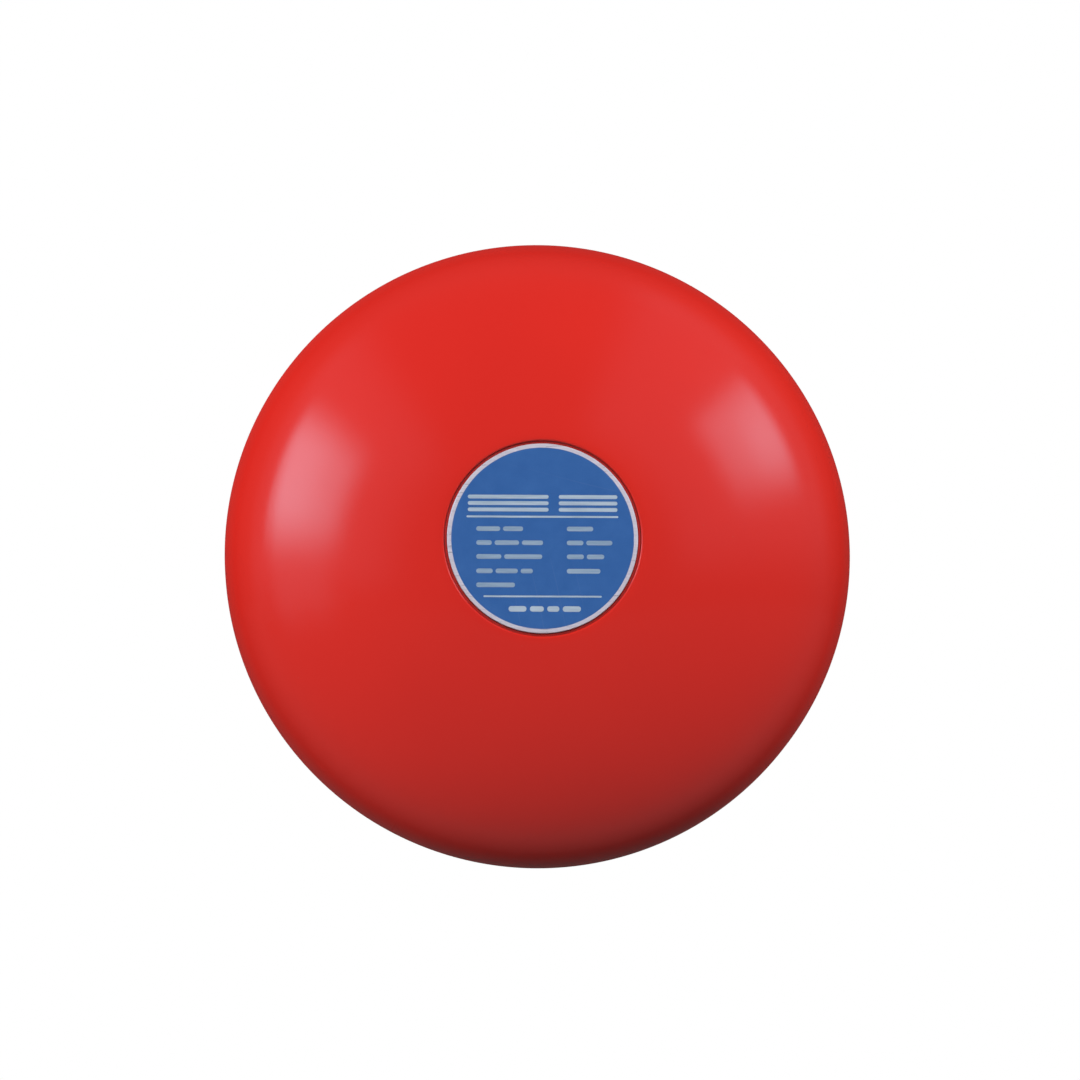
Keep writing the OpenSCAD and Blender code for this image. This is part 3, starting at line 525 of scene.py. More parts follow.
# The two colours of each are its base and the tone it drifts to.
MATERIALS = {material.name: material for material in (
    red_enamel(),
    label_print(),
    bare_print("bare_print", (0.42, 0.52, 0.64), (0.54, 0.63, 0.74)),
    bare_print("fine_print", (0.27, 0.38, 0.54), (0.37, 0.48, 0.62)),
    zinc_plate(),
    metal("bright_steel", (0.66, 0.66, 0.68), (0.74, 0.74, 0.75),
          rough=(0.14, 0.24), grain=1500, bump=0.04),
    metal("spring_steel", (0.22, 0.22, 0.24), (0.30, 0.29, 0.29),
          rough=(0.28, 0.42), edge=(0.55, 0.55, 0.55)),
    plastic("black_plastic", (0.017, 0.017, 0.018), (0.024, 0.024, 0.025),
            rough=(0.46, 0.60), grain=2300, bump=0.32, depth=0.035),
    plastic("white_plastic", (0.72, 0.69, 0.61), (0.78, 0.76, 0.69),
            rough=(0.36, 0.46), grain=1800, bump=0.08, depth=0.02, edge_light=0.0,
            Subsurface_Weight=0.3, Subsurface_Scale=0.001),
    rubber("black_rubber", (0.018, 0.018, 0.018), (0.040, 0.039, 0.037)),
    metal("sintered_bronze", (0.40, 0.25, 0.12), (0.52, 0.35, 0.18),
          rough=(0.40, 0.55), grain=3200, bump=0.4, edge=(0.7, 0.5, 0.3)),
    metal("brass", (0.66, 0.47, 0.18), (0.76, 0.57, 0.25),
          rough=(0.18, 0.30), grain=1700, bump=0.05, edge=(0.9, 0.75, 0.42)),
    metal("copper_strip", (0.62, 0.30, 0.14), (0.72, 0.39, 0.20),
          rough=(0.24, 0.36), edge=(0.85, 0.55, 0.35)),
    copper_wire(),
    plastic("ferrite", (0.040, 0.040, 0.043), (0.062, 0.062, 0.066),
            rough=(0.50, 0.64), grain=2800, bump=0.4, depth=0.03, edge_light=0.2),
    core_steel(),
    plastic("carbon", (0.022, 0.022, 0.023), (0.035, 0.035, 0.036),
            rough=(0.35, 0.5), grain=3600, bump=0.3, depth=0.03, edge_light=0.1),
    circuit_green(),
    plastic("terminal_green", (0.015, 0.17, 0.065), (0.020, 0.205, 0.080),
            rough=(0.38, 0.5), grain=2400, bump=0.15, depth=0.02, edge_light=0.05),
    plastic("epoxy_black", (0.013, 0.013, 0.014), (0.02, 0.02, 0.021),
            rough=(0.24, 0.36), grain=1500, bump=0.1, depth=0.02, edge_light=0.05, coat=0.2),
    plastic("film_yellow", (0.55, 0.34, 0.035), (0.64, 0.42, 0.06),
            rough=(0.2, 0.3), grain=600, bump=0.2, depth=0.05, edge_light=0.0, coat=0.4),
    plastic("varistor_blue", (0.02, 0.075, 0.30), (0.03, 0.10, 0.36),
            rough=(0.2, 0.3), grain=500, bump=0.3, depth=0.08, edge_light=0.0, coat=0.5),
    plastic("wire_red", (0.46, 0.012, 0.010), (0.54, 0.020, 0.015),
            rough=(0.3, 0.4), grain=1200, bump=0.08, depth=0.02, edge_light=0.0),
    plastic("wire_black", (0.014, 0.014, 0.015), (0.022, 0.022, 0.022),
            rough=(0.3, 0.42), grain=1200, bump=0.08, depth=0.02, edge_light=0.0),
)}
SLOTS = {part["node"]: part["material_slot"] for part in frame["record"]["subparts"]}
for node, ob in frame["nodes"].items():
    ob.data.materials.clear()
    ob.data.materials.append(MATERIALS[SLOTS[node]])


# ---------------------------------------------------------------- gong
GONG_LO, GONG_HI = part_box("gong")
GONG_R = (GONG_HI.x - GONG_LO.x) / 2 / MM
RIM_Z = -GONG_HI.y / MM                       # height of the rim above the wall
SHEET = 1.2                                   # sheet thickness
DOME_POWER, DOME_H = 2.1, 34.0                # superellipse power and height of the dome
SKIRT = 5.0                                   # straight part between the rim and the dome
SKIRT_Z = RIM_Z + SKIRT
CROWN_R = 24.0                                # the dome begins at this radius
CROWN_ANGLE = math.asin((CROWN_R / GONG_R) ** (DOME_POWER / 2))
CROWN_Z = SKIRT_Z + DOME_H * math.cos(CROWN_ANGLE) ** (2 / DOME_POWER)
SHELF_Z = CROWN_Z - 0.9                       # the recess the nameplate lies in
WELL_Z = SHELF_Z - 10.4                       # the deeper middle
HOLE_R = 5.0
DOME_STEPS = 76
DOME_START = CROWN_ANGLE + 0.02


def dome(angle, inset=0.0):
    """(radius, z) on the dome, from 0 at its top to a quarter turn at the skirt, moved in
    by inset square to the surface."""
    sine, cosine = math.sin(angle), max(math.cos(angle), 0.0)
    r, z = GONG_R * sine ** (2 / DOME_POWER), DOME_H * cosine ** (2 / DOME_POWER)
    normal = Vector(((r / GONG_R) ** (DOME_POWER - 1) / GONG_R,
                     (z / DOME_H) ** (DOME_POWER - 1) / DOME_H)).normalized()
    return (r - inset * normal.x, SKIRT_Z + z - inset * normal.y)


def gong_profile():
    """Closed outline of the sheet as (radius, z)."""
    # (radius, z, corner radius): up from the hole over the well and the shelf to the crown
    top = rounded([
        (HOLE_R, WELL_Z - SHEET), (HOLE_R, WELL_Z), (12.4, WELL_Z, 1.2), (14.2, SHELF_Z, 1.2),
        (PLATE_R + 0.6, SHELF_Z, 0.25), (PLATE_R + 0.75, CROWN_Z - 0.02, 0.5),
        dome(CROWN_ANGLE), dome(DOME_START)], steps=8)
    outer = [dome(DOME_START + (math.pi / 2 - DOME_START) * i / DOME_STEPS)
             for i in range(1, DOME_STEPS + 1)]
    skirt = [(GONG_R, SKIRT_Z - SKIRT * 0.85 * i / 5) for i in range(1, 5)]
    lip = SHEET / 2
    rim = [(GONG_R - lip + lip * math.cos(-i * math.pi / 12),
            RIM_Z + lip + lip * math.sin(-i * math.pi / 12)) for i in range(13)]
    inner_skirt = [(GONG_R - SHEET, RIM_Z + lip + (SKIRT - lip) * i / 5) for i in range(1, 5)]
    inner = [dome(CROWN_ANGLE + (math.pi / 2 - CROWN_ANGLE) * i / DOME_STEPS, SHEET)
             for i in range(DOME_STEPS, 1, -1)]
    # the wall side of the shelf and the well, back to the hole
    under = rounded([
        inner[-1], (26.0, dome(CROWN_ANGLE + math.radians(2), SHEET)[1] + 0.1),
        (23.4, SHELF_Z - SHEET, 0.4), (15.1, SHELF_Z - SHEET, 2.2),
        (13.3, WELL_Z - SHEET, 2.2), (HOLE_R, WELL_Z - SHEET)], steps=8)[1:-1]
    return top + outer + skirt + rim + inner_skirt + inner + under


gong = lathe("gong_shell", gong_profile(), step=1.6, segments=360, closed=True, smooth=50,
             material=MATERIALS["red_enamel"], replaces="gong", slot="red_enamel")

# ---------------------------------------------------------------- nameplate
DISC_R = PLATE_R - 0.02
# (radius, z, corner radius)
disc_profile = rounded([(0, PLATE_BOTTOM), (DISC_R, PLATE_BOTTOM, 0.12),
                        (DISC_R, PLATE_TOP, 0.16), (0, PLATE_TOP)], steps=6)
plate = lathe("nameplate_disc", disc_profile, step=1.5, segments=256, closed=False, smooth=40,
              material=MATERIALS["label_print"], replaces="nameplate", slot="label_print")

MARK_H = 0.03                                 # how far the marks stand out of the ink


def block(marks, x0, y0, x1, y1, radius=0.2):
    """A thin rounded block between two corners, added to the (verts, faces) of marks."""
    verts, faces = marks
    radius = min(radius, (x1 - x0) * 0.45, (y1 - y0) * 0.45)
    ring = []
    for x, y, start in ((x1 - radius, y1 - radius, 0), (x0 + radius, y1 - radius, 90),
                        (x0 + radius, y0 + radius, 180), (x1 - radius, y0 + radius, 270)):
        for k in range(4):
            angle = math.radians(start + 30 * k)
            ring.append((x + radius * math.cos(angle), y + radius * math.sin(angle)))
    n = len(ring)
    first = len(verts)
    mid_x, mid_y = (x0 + x1) / 2, (y0 + y1) / 2
    # sunk foot, top of the wall, and the top face drawn slightly in
    for grow, z in ((0.0, -0.02), (0.0, MARK_H * 0.6), (-0.02, MARK_H)):
        for x, y in ring:
            d = math.hypot(x - mid_x, y - mid_y)
            verts.append(place(x + (x - mid_x) / d * grow, y + (y - mid_y) / d * grow,
                               PLATE_TOP + z))
    for low in (first, first + n):
        for i in range(n):
            k = (i + 1) % n
            faces.append((low + i, low + k, low + n + k, low + n + i))
    faces.append(tuple(first + i for i in reversed(range(n))))
    faces.append(tuple(first + 2 * n + i for i in range(n)))


def dashes(marks, x0, x1, y, height, count):
    """A row of plain dashes of uneven length that stands for a printed word."""
    gap = height * 0.62
    sizes = [rng.uniform(0.8, 1.9) for _ in range(count)]
    unit = (x1 - x0 - gap * (count - 1)) / sum(sizes)
    x = x0
    for size in sizes:
        block(marks, x, y, x + size * unit, y + height, radius=height * 0.49)
        x += size * unit + gap


def bars(marks, x0, x1, y, height):
    """Three level bars that stand for a printed heading."""
    for k in range(3):
        low = y + k * height * 0.37
        block(marks, x0, low, x1, low + height * 0.22, radius=height * 0.1)


COLUMN_1, COLUMN_2 = -15.6, 5.7               # left ends of the two columns of small print
ROW_H = 1.1
# (middle y, left x, right x, dashes)
ROWS = (
    (2.2, COLUMN_1, -4.6, 2), (2.2, COLUMN_2, 11.9, 1),
    (-1.1, COLUMN_1, 0.1, 3), (-1.1, COLUMN_2, 16.4, 2),
    (-4.4, COLUMN_1, -0.1, 2), (-4.4, COLUMN_2, 14.5, 2),
    (-7.8, COLUMN_1, -2.3, 3), (-7.8, COLUMN_2, 13.6, 1),
    (-11.1, COLUMN_1, -6.5, 1),
)
heading_marks, row_marks = ([], []), ([], [])
bars(heading_marks, x0=-17.6, x1=1.4, y=6.3, height=4.1)
bars(heading_marks, x0=3.8, x1=17.6, y=6.3, height=4.1)
for y, x0, x1, count in ROWS:
    dashes(row_marks, x0, x1, y - ROW_H / 2, ROW_H, count)
dashes(heading_marks, x0=-8.0, x1=9.0, y=-17.4, height=1.3, count=4)
# a rule below the heading and one below the rows
block(heading_marks, x0=-17.9, y0=4.85, x1=17.8, y1=5.3)
block(heading_marks, x0=-13.9, y0=-14.0, x1=13.9, y1=-13.6)
marks = mesh_object("nameplate_heading_marks", *heading_marks, MATERIALS["bare_print"], "base",
                    smooth=30, slot="label_print")
fine_marks = mesh_object("nameplate_row_marks", *row_marks, MATERIALS["fine_print"], "base",
                         smooth=30, slot="label_print")


# ---------------------------------------------------------------- wire helpers
def sweep(path, radius, sides, start=(1, 0, 0.13)):
    """A wire along a path, with a frame that never twists. Start sets the frame's first
    direction. Narrowing rings set just inside each end lead to a flat end face."""
    points = [Vector(p) for p in path]
    last = len(points) - 1
    tangents = [(points[min(i + 1, last)] - points[max(i - 1, 0)]).normalized()
                for i in range(last + 1)]
    cap = [(radius * math.cos(angle), radius * math.sin(angle))
           for angle in (math.radians(72), math.radians(48), math.radians(24))]
    stations = [(points[0] - tangents[0] * (h * 0.25 - radius * 0.25), r, tangents[0])
                for r, h in cap]
    stations += [(p, radius, tangent) for p, tangent in zip(points, tangents)]
    stations += [(points[-1] + tangents[-1] * (h * 0.25 - radius * 0.25), r, tangents[-1])
                 for r, h in reversed(cap)]
    verts, faces = [], []
    side = Vector(start).cross(tangents[0]).normalized()
    for centre, r, tangent in stations:
        side = (side - tangent * side.dot(tangent)).normalized()
        other = tangent.cross(side)
        for k in range(sides):
            angle = 2 * math.pi * k / sides
            q = centre + (side * math.cos(angle) + other * math.sin(angle)) * r
            verts.append(place(q.x, q.y, q.z))
    n = len(stations)
    faces.append(tuple(reversed(range(sides))))
    for i in range(n - 1):
        for k in range(sides):
            b = (k + 1) % sides
            faces.append((i * sides + k, i * sides + b, (i + 1) * sides + b, (i + 1) * sides + k))
    faces.append(tuple((n - 1) * sides + k for k in range(sides)))
    return verts, faces


def flow(guide, steps):
    """Points on a curve that passes smoothly through the guide points."""
    out = []
    g = [Vector(p) for p in guide]
    for i in range(len(g) - 1):
        a, b, c, d = g[max(i - 1, 0)], g[i], g[i + 1], g[min(i + 2, len(g) - 1)]
        for k in range(steps):
            t = k / steps
            out.append(0.5 * (2 * b + (c - a) * t + (2 * a - 5 * b + 4 * c - d) * t * t
                              + (3 * b - a - 3 * c + d) * t ** 3))
    out.append(g[-1])
    return out


# ---------------------------------------------------------------- return spring
ROD_LO, ROD_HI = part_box("striker_rod")
STRIKER_Z = -(ROD_LO.y + ROD_HI.y) / 2 / MM
SPRING_LO, SPRING_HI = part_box("return_spring")
SPRING_WIRE_R = 0.28
# the spring runs down from the first depth below the bell's axis to the second
SPRING_FROM = -SPRING_HI.z / MM + SPRING_WIRE_R
SPRING_TO = -SPRING_LO.z / MM - SPRING_WIRE_R
SPRING_R = (SPRING_HI.x - SPRING_LO.x) / 2 / MM - SPRING_WIRE_R
TURNS, TURN_STEPS = 6, 40
CLOSED_PITCH = 2.1 * SPRING_WIRE_R            # pitch of the closed turn at each end


def coil_rise(turn):
    """Distance along the spring after so many turns."""
    whole = SPRING_TO - SPRING_FROM
    if turn < 1:
        return turn * CLOSED_PITCH
    if turn > TURNS - 1:
        return whole - (TURNS - turn) * CLOSED_PITCH
    return CLOSED_PITCH + (turn - 1) / (TURNS - 2) * (whole - 2 * CLOSED_PITCH)


def spring_path():
    path = []
    for i in range(TURNS * TURN_STEPS + 1):
        turn = i / TURN_STEPS
        angle = 2 * math.pi * i / TURN_STEPS
        if i < 6 or i > TURNS * TURN_STEPS - 6:
            rise = coil_rise(turn)
        else:
            # a soft change of pitch between the closed end turns and the open ones
            rise = sum(coil_rise(max(0.0, min(TURNS, turn + shift)))
                       for shift in (-0.12, -0.06, 0.0, 0.06, 0.12)) / 5
        path.append((SPRING_R * math.cos(angle), -(SPRING_FROM + rise),
                     STRIKER_Z + SPRING_R * math.sin(angle)))
    return path


spring = mesh_object("return_spring_coil", *sweep(spring_path(), SPRING_WIRE_R, sides=12),
                     MATERIALS["spring_steel"], "base", smooth=50,
                     replaces="return_spring", slot="spring_steel")
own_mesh(spring)

# ---------------------------------------------------------------- motor leads
BOARD_TOP = -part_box("circuit_board")[0].y / MM
MOTOR_Y = next(j["pos_m"][2] for j in frame["joints"] if j["name"] == "rotor_spin") / MM
LEAD_R = 0.69
LEAD_X, LEAD_Y = 8.6, 11.6                    # where a lead leaves the board
# (distance from the middle, y, z) from the board down to the motor
LEAD_GUIDE = (
    (LEAD_X, LEAD_Y, BOARD_TOP + 0.5), (8.7, 11.2, BOARD_TOP + 1.7), (10, 6.5, BOARD_TOP + 0.9),
    (12.4, 0.5, 9.4), (12, -7, 8.3), (8.2, -12.6, 7.9), (7, -16.2, 7.9),
    (7, MOTOR_Y + 3.12, 7.9),
)
for side, colour in ((1, "red"), (-1, "black")):
    guide = [(side * x, y, z) for x, y, z in LEAD_GUIDE]
    path = [Vector((side * LEAD_X, LEAD_Y, BOARD_TOP + 0.05))] + flow(guide, steps=10)
    lead, slot = "motor_lead_" + colour, "wire_" + colour
    mesh_object(lead + "_wire", *sweep(path, LEAD_R, sides=16), MATERIALS[slot], "base",
                smooth=60, replaces=lead, slot=slot)

# ---------------------------------------------------------------- rotor windings
# Three coils, each wound round one tooth of the rotor: a body of laid turns with the last
# layer of wire on it. In a coil, u runs out along the tooth, y across it and z along the axis.
WIND_LO, WIND_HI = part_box("rotor_windings")
WIND_Z = -(WIND_LO.y + WIND_HI.y) / 2 / MM
WIND_HALF = (WIND_HI.y - WIND_LO.y) / 2 / MM
COIL_IN, COIL_OUT = 2.95, 5.70                # ends of a coil along its tooth
COIL_HALF_Y = 3.0
TURN_R = 0.14                                 # wire radius
SLACK = 0.01
WIRE_Y = COIL_HALF_Y - TURN_R - SLACK         # half sizes of the last layer's loop
WIRE_Z = WIND_HALF - TURN_R - SLACK
WIRE_TURNS = 8
BODY_Y = 1.24                                 # half width of the body's opening
BODY_DEPTH = 0.73                             # depth of that opening inside the coil's z end
BODY_STEPS, RIPPLES, RIPPLE_H = 30, 5, 0.05
LOOP = 36                                     # points in a coil loop


def coil_loop(half_y, half_z, radius):
    """Points round a rectangle with rounded corners, always in the same order."""
    out = []
    flat_y, flat_z = half_y - radius, half_z - radius
    for sy, sz, start in ((1, 1, 0), (-1, 1, 90), (-1, -1, 180), (1, -1, 270)):
        for k in range(7):
            angle = math.radians(start + 15 * k)
            out.append((sy * flat_y + radius * math.cos(angle),
                        sz * flat_z + radius * math.sin(angle)))
        y, z = out[-1]
        if start in (0, 180):
            out += [(y - sy * flat_y * f, z) for f in (0.66, 1.33)]
        else:
            out += [(y, z - sz * flat_z * f) for f in (0.66, 1.33)]
    return out


def coil_body():
    """The (u, y, z) points and the faces of the body of laid turns."""
    low, high = COIL_IN + 0.06, COIL_OUT - 0.06
    layers = [i / BODY_STEPS for i in range(BODY_STEPS + 1)]
    ridges = [(f, RIPPLE_H * abs(math.sin(math.pi * RIPPLES * f))) for f in layers]
    profile = [(f, low - h) for f, h in ridges] + [(f, high + h) for f, h in reversed(ridges)]
    points, faces = [], []
    for f, u in profile:
        ring = coil_loop(BODY_Y + f * (WIRE_Y - 0.04 - BODY_Y),
                         WIND_HALF - BODY_DEPTH + f * (BODY_DEPTH - TURN_R - 0.05),
                         0.12 + 0.5 * f)
        points += [(u, y, z) for y, z in ring]
    n = len(profile)
    for i in range(n):
        a, b = i * LOOP, (i + 1) % n * LOOP
        for k in range(LOOP):
            m = (k + 1) % LOOP
            faces.append((a + k, a + m, b + m, b + k))
    return points, faces


def wire_path():
    """The (u, y, z) points of the last layer of wire."""
    ring = coil_loop(WIRE_Y, WIRE_Z, 0.66)
    pitch = (COIL_OUT - COIL_IN - 2 * TURN_R - 2 * SLACK) / WIRE_TURNS
    return [(COIL_IN + TURN_R + SLACK + pitch * i / LOOP, *ring[i % LOOP])
            for i in range(WIRE_TURNS * LOOP + 1)]


def windings():
    verts, faces = [], []
    for tooth in (90, 210, 330):
        cosine, sine = math.cos(math.radians(tooth)), math.sin(math.radians(tooth))

        def on_tooth(u, y, z):
            return (u * cosine - y * sine, MOTOR_Y + u * sine + y * cosine, WIND_Z + z)

        points, body_faces = coil_body()
        body = [place(*on_tooth(*p)) for p in points], body_faces
        wire = sweep([on_tooth(*p) for p in wire_path()], TURN_R, sides=8,
                     start=(cosine, sine, 0))
        for more_verts, more_faces in (body, wire):
            first = len(verts)
            verts += more_verts
            faces += [tuple(first + q for q in face) for face in more_faces]
    return verts, faces


mesh_object("rotor_winding_turns", *windings(), MATERIALS["copper_wire"], "rotor", smooth=50,
            replaces="rotor_windings", slot="copper_wire")

# ---------------------------------------------------------------- light panels
CENTRE = Vector((0, -0.030, 0))               # the point that panels and lamps surround


def panel_light(name, strength, colour):
    """Emission that follows the mesh's glow attribute."""
    t = material_tree(name)
    emission = t.add("ShaderNodeEmission", {"Color": colour, "Strength": strength})
    glow = t.add("ShaderNodeAttribute", attribute_name="glow")
    t.tree.links.new(t.times(glow.outputs["Fac"], strength), emission.inputs["Strength"])
    # the panel only adds light: what stands behind it still shows
    clear = t.add("ShaderNodeBsdfTransparent")
    t.surface(t.add_shader(emission, clear).outputs[0])
    return t.owner


def panel(name, turn, lean, strength, glow, dist=1.1, n=40, colour=(1, 1, 1)):
    """A curved soft light panel round the bell. turn is its span in degrees round the bell's
    axis (0 to the right, 90 up), lean its span in degrees away from straight in front, and
    glow(turn, lean) its brightness there."""
    mesh = bpy.data.meshes.new(name)
    verts, values = [], []
    for i in range(n + 1):
        for j in range(n + 1):
            p = turn[0] + (turn[1] - turn[0]) * i / n
            a = lean[0] + (lean[1] - lean[0]) * j / n
            pr, ar = math.radians(p), math.radians(a)
            direction = Vector((math.sin(ar) * math.cos(pr), -math.cos(ar),
                                math.sin(ar) * math.sin(pr)))
            verts.append(CENTRE + direction * dist)
            values.append(max(0.0, glow(p, a)))
    row = n + 1
    faces = [(i * row + j, (i + 1) * row + j, (i + 1) * row + j + 1, i * row + j + 1)
             for i in range(n) for j in range(n)]
    mesh.from_pydata([tuple(v) for v in verts], [], faces)
    mesh.attributes.new("glow", "FLOAT", "POINT").data.foreach_set("value", values)
    mesh.materials.append(panel_light(name, strength, colour))
    ob = link_object(name, mesh)
    ob.visible_camera = False
    ob.visible_diffuse = False
    ob.visible_shadow = False
    return ob


def ease(x):
    x = max(0.0, min(1.0, x))
    return x * x * (3 - 2 * x)


def hill(x, start, top_start, top_end, end):
    """0 outside start..end, 1 between top_start and top_end, smooth in between."""
    return ease((x - start) / (top_start - start)) * ease((end - x) / (end - top_end))


# In the glow functions the hills are in degrees, and the factors before them are brightness.
def glow_left(turn, lean):
    faint = 0.075 * hill(turn, 150, 170, 183, 198) * hill(lean, 38, 50, 66, 78)
    wide = 0.40 * hill(lean, 36, 46, 75, 81)
    slanted = 0.34 * hill(lean, 40, 62, 70, 76.5 + (157 - turn) * 0.25)
    return faint + hill(turn, 138, 151, 162, 179) * (wide + slanted)


def glow_right(turn, lean):
    return (hill(turn, 14, 31, 40, 47) * 0.60 * hill(lean, 40, 50, 72, 82)
            + hill(turn, 17, 28, 33, 43) * 0.40 * hill(lean, 50, 64, 71, 80))


def glow_left_wide(turn, lean):
    return hill(turn, 118, 132, 176, 192) * hill(lean, 18, 34, 78, 98)


def glow_right_wide(turn, lean):
    return hill(turn, -6, 16, 64, 76) * hill(lean, 22, 32, 80, 104)


def glow_room(turn, lean):
    """Faint all round behind, stronger behind and above, with two spots in front."""
    upper = 0.5 + 0.5 * math.cos(math.radians(turn - 75))
    spots = sum(max(0.0, math.cos(math.radians(turn - middle))) ** 6 for middle in (158, 34))
    return (0.22 * hill(lean, 80, 98, 180, 190) + 0.78 * hill(lean, 98, 122, 142, 172) * upper
            + 1.3 * hill(lean, 34, 50, 66, 84) * spots)


COOL = (0.40, 0.87, 1.06)
SOFT = (0.60, 0.96, 1.20)
tinted_panels = [
    panel("panel_left", turn=(134, 200), lean=(34, 84), strength=6.0, glow=glow_left,
          colour=COOL),
    panel("panel_right", turn=(12, 54), lean=(38, 88), strength=3.6, glow=glow_right,
          colour=COOL),
    panel("panel_left_wide", turn=(118, 192), lean=(18, 100), strength=0.30,
          glow=glow_left_wide, dist=1.15, colour=SOFT),
    panel("panel_right_wide", turn=(-6, 76), lean=(22, 106), strength=0.27,
          glow=glow_right_wide, dist=1.15, colour=SOFT),
]


# ---------------------------------------------------------------- lamps
def lamp(name, direction, power, size=0.8, mirrored=False):
    """A disc lamp 1.5 m from the bell, its direction given as (right, up, out of the wall)."""
    light = bpy.data.lights.new(name, "AREA")
    light.shape = "DISK"
    light.size = size
    light.energy = power
    if not mirrored:
        light.cycles.use_multiple_importance_sampling = False
    ob = link_object(name, light)
    x, y, z = direction
    away = Vector((x, -z, y)).normalized()
    ob.location = CENTRE + away * 1.5
    ob.rotation_mode = "QUATERNION"
    ob.rotation_quaternion = away.to_track_quat("Z", "Y")
    ob.visible_glossy = mirrored
    ob.visible_camera = False
    return ob


# name, direction, power in watts
for name, direction, power in (
    ("key", (-0.11, 0.59, 0.80), 6.8),
    ("key_front", (-0.11, 0.30, 0.95), 14.1),
    ("wash_left", (-0.985, 0.12, 0.04), 13.6),
    ("wash_left_low", (-0.76, -0.64, -0.09), 0.2),
    ("wash_right", (0.93, 0.36, 0.10), 6.6),
    ("wash_right_high", (0.74, 0.62, 0.12), 6.5),
    ("rim_left", (-0.60, 0.33, -0.72), 13.4),
    ("rim_top", (-0.17, 0.58, -0.79), 17.5),
    ("rim_right", (0.73, 0.27, -0.63), 10.1),
):
    lamp(name, direction, power)
# the mirror image of the lamp behind shows only in the fittings behind the gong
back_metal = lamp("back_metal", (0.35, 0.50, -0.80), power=14, size=1.0, mirrored=True)
behind = bpy.data.collections.new("all_but_the_gong")
behind.objects.link(gong)
behind.collection_objects[0].light_linking.link_state = "EXCLUDE"
back_metal.light_linking.receiver_collection = behind
room = panel("panel_room", turn=(0, 360), lean=(30, 179), strength=1.0, glow=glow_room,
             dist=2.0, n=72)
room.light_linking.receiver_collection = behind
# the tinted panels are made for the red paint and the nameplate
front_pieces = bpy.data.collections.new("gong_and_nameplate")
for ob in (gong, plate, marks, fine_marks):
    front_pieces.objects.link(ob)
for ob in tinted_panels:
    ob.light_linking.receiver_collection = front_pieces

# ---------------------------------------------------------------- world and floor
ROOM_GLOW = (0.33, 0.07)      # reflected brightness, from level with the wall to farther behind


def build_world():
    """White for the camera, dimmer for the light that falls on the bell."""
    world = bpy.data.worlds.new("studio")
    bpy.context.scene.world = world
    t = Tree(world, output="ShaderNodeOutputWorld")
    world.cycles.sampling_method = "NONE"
    ray = t.add("ShaderNodeLightPath").outputs
    direction = t.split(t.add("ShaderNodeTexCoord").outputs["Generated"])
    reflected = t.span(direction["Y"], over=(0.0, 0.5), to=ROOM_GLOW)
    seen = t.add("ShaderNodeBackground", {"Color": (1, 1, 1), "Strength": 1.0})
    diffuse = 0.025
    strength = t.add("ShaderNodeMix", {0: ray["Is Diffuse Ray"], 2: reflected, 3: diffuse},
                     data_type="FLOAT").outputs[0]
    lighting = t.add("ShaderNodeBackground", {"Strength": strength})
    t.surface(t.mix_shader(ray["Is Camera Ray"], lighting, seen).outputs[0])


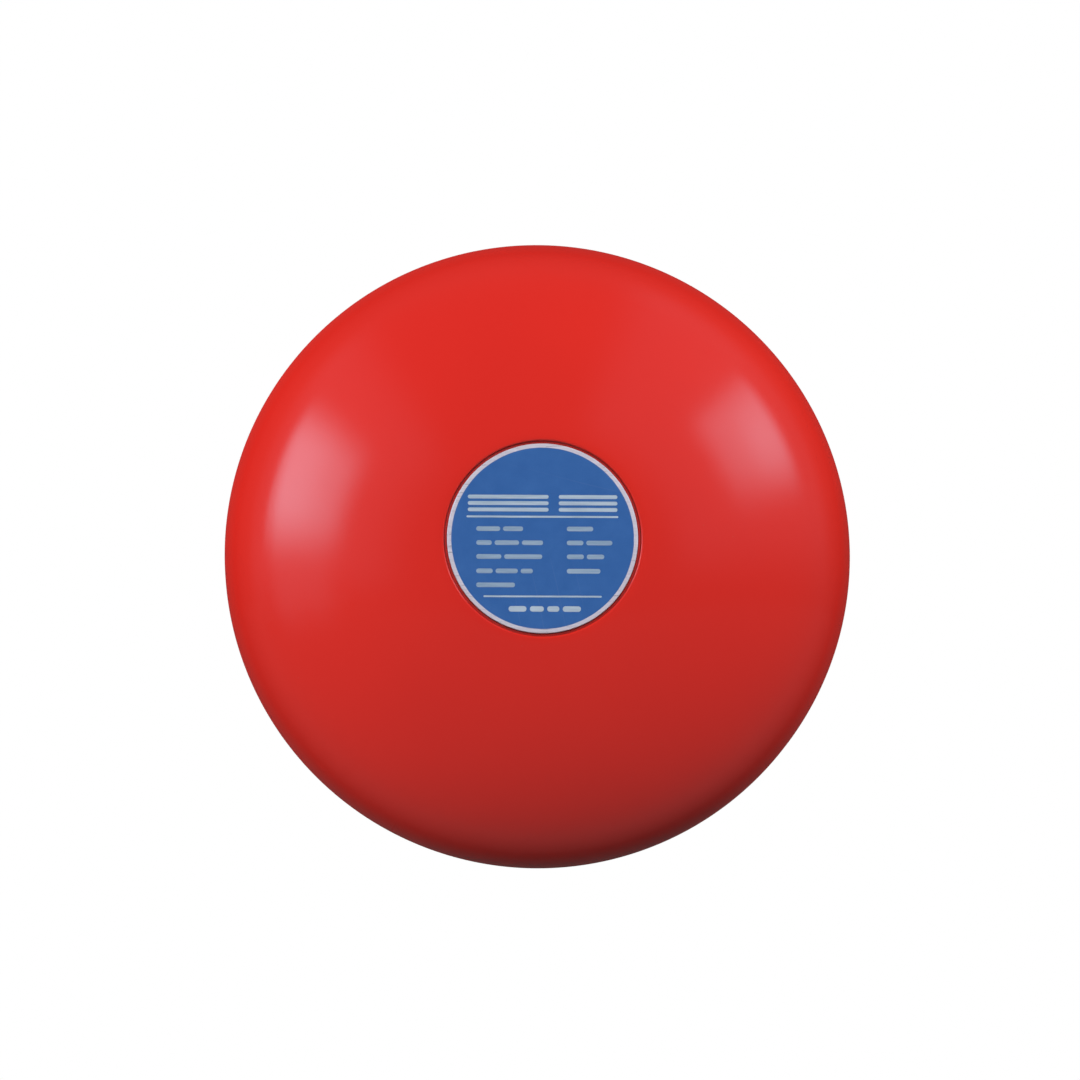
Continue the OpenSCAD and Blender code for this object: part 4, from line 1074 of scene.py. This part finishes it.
def floor_material():
    """Pale floor that fades into the white of the room with distance."""
    t = material_tree("pale_floor")
    geometry = t.add("ShaderNodeNewGeometry").outputs
    distance = t.add("ShaderNodeVectorMath", {0: geometry["Position"]}, operation="LENGTH")
    far = t.span(distance.outputs["Value"], over=(0.9, 2.6))
    noise = t.add("ShaderNodeTexNoise", {"Scale": 30.0}).outputs["Fac"]
    grey = t.span(noise, over=(0.0, 1.0), to=(0.84, 0.88))
    colour = t.add("ShaderNodeCombineColor", {0: grey, 1: grey, 2: grey}).outputs[0]
    matt = t.add("ShaderNodeBsdfDiffuse", {"Color": colour})
    white = t.add("ShaderNodeEmission", {"Color": (1, 1, 1)})
    lift = t.add("ShaderNodeEmission", {"Strength": 0.45})
    seen = t.mix_shader(far, t.add_shader(matt, lift), white)
    # light that reaches the bell from the floor stays low
    ray = t.add("ShaderNodeLightPath").outputs
    dim = t.add("ShaderNodeBsdfDiffuse", {"Color": (0.12, 0.12, 0.12)})
    incoming = t.split(geometry["Incoming"])
    strength = t.span(incoming["Y"], over=(0.0, -0.5), to=ROOM_GLOW)
    mirrored = t.add("ShaderNodeEmission", {"Strength": strength})
    low = t.mix_shader(ray["Is Glossy Ray"], dim, mirrored)
    t.surface(t.mix_shader(ray["Is Camera Ray"], low, seen).outputs[0])
    t.owner.cycles.emission_sampling = "NONE"
    return t.owner


FLOOR_Z, FLOOR_HALF = -0.80, 9
build_world()
corners = [(x * FLOOR_HALF, y * FLOOR_HALF, FLOOR_Z)
           for x, y in ((-1, -1), (1, -1), (1, 1), (-1, 1))]
mesh_object("floor", corners, [(0, 1, 2, 3)], floor_material())

# ---------------------------------------------------------------- camera
# Slightly below the bell's axis and slightly to its left.
AZIMUTH, ELEVATION = math.radians(-2.1), math.radians(-7.1)
CAMERA_DIST = 1.60
FOCUS = Vector((0, -0.0275, 0))
HALF_VIEW = 129.475703 * MM                   # half the width of the view at the focus
SHIFT_RIGHT, SHIFT_UP = 0.551471 * MM, 3.500639 * MM
SENSOR = 36.0
back = Vector((math.sin(AZIMUTH) * math.cos(ELEVATION),
               -math.cos(AZIMUTH) * math.cos(ELEVATION), math.sin(ELEVATION)))
right = Vector((math.cos(AZIMUTH), math.sin(AZIMUTH), 0))
up = back.cross(right)
camera_data = bpy.data.cameras.new("camera")
camera_data.sensor_width = SENSOR
camera_data.lens = SENSOR / 2 / (HALF_VIEW / CAMERA_DIST)
camera_data.clip_start = 0.05
camera_data.clip_end = 60.0
camera = link_object("camera", camera_data)
camera.location = FOCUS + back * CAMERA_DIST + right * SHIFT_RIGHT + up * SHIFT_UP
camera.rotation_mode = "QUATERNION"
camera.rotation_quaternion = back.to_track_quat("Z", "Y")
scene = bpy.context.scene
scene.camera = camera
scene.view_settings.view_transform = "Standard"
scene.view_settings.look = "None"
scene.view_settings.exposure = 0.0

bpy.context.view_layer.update()
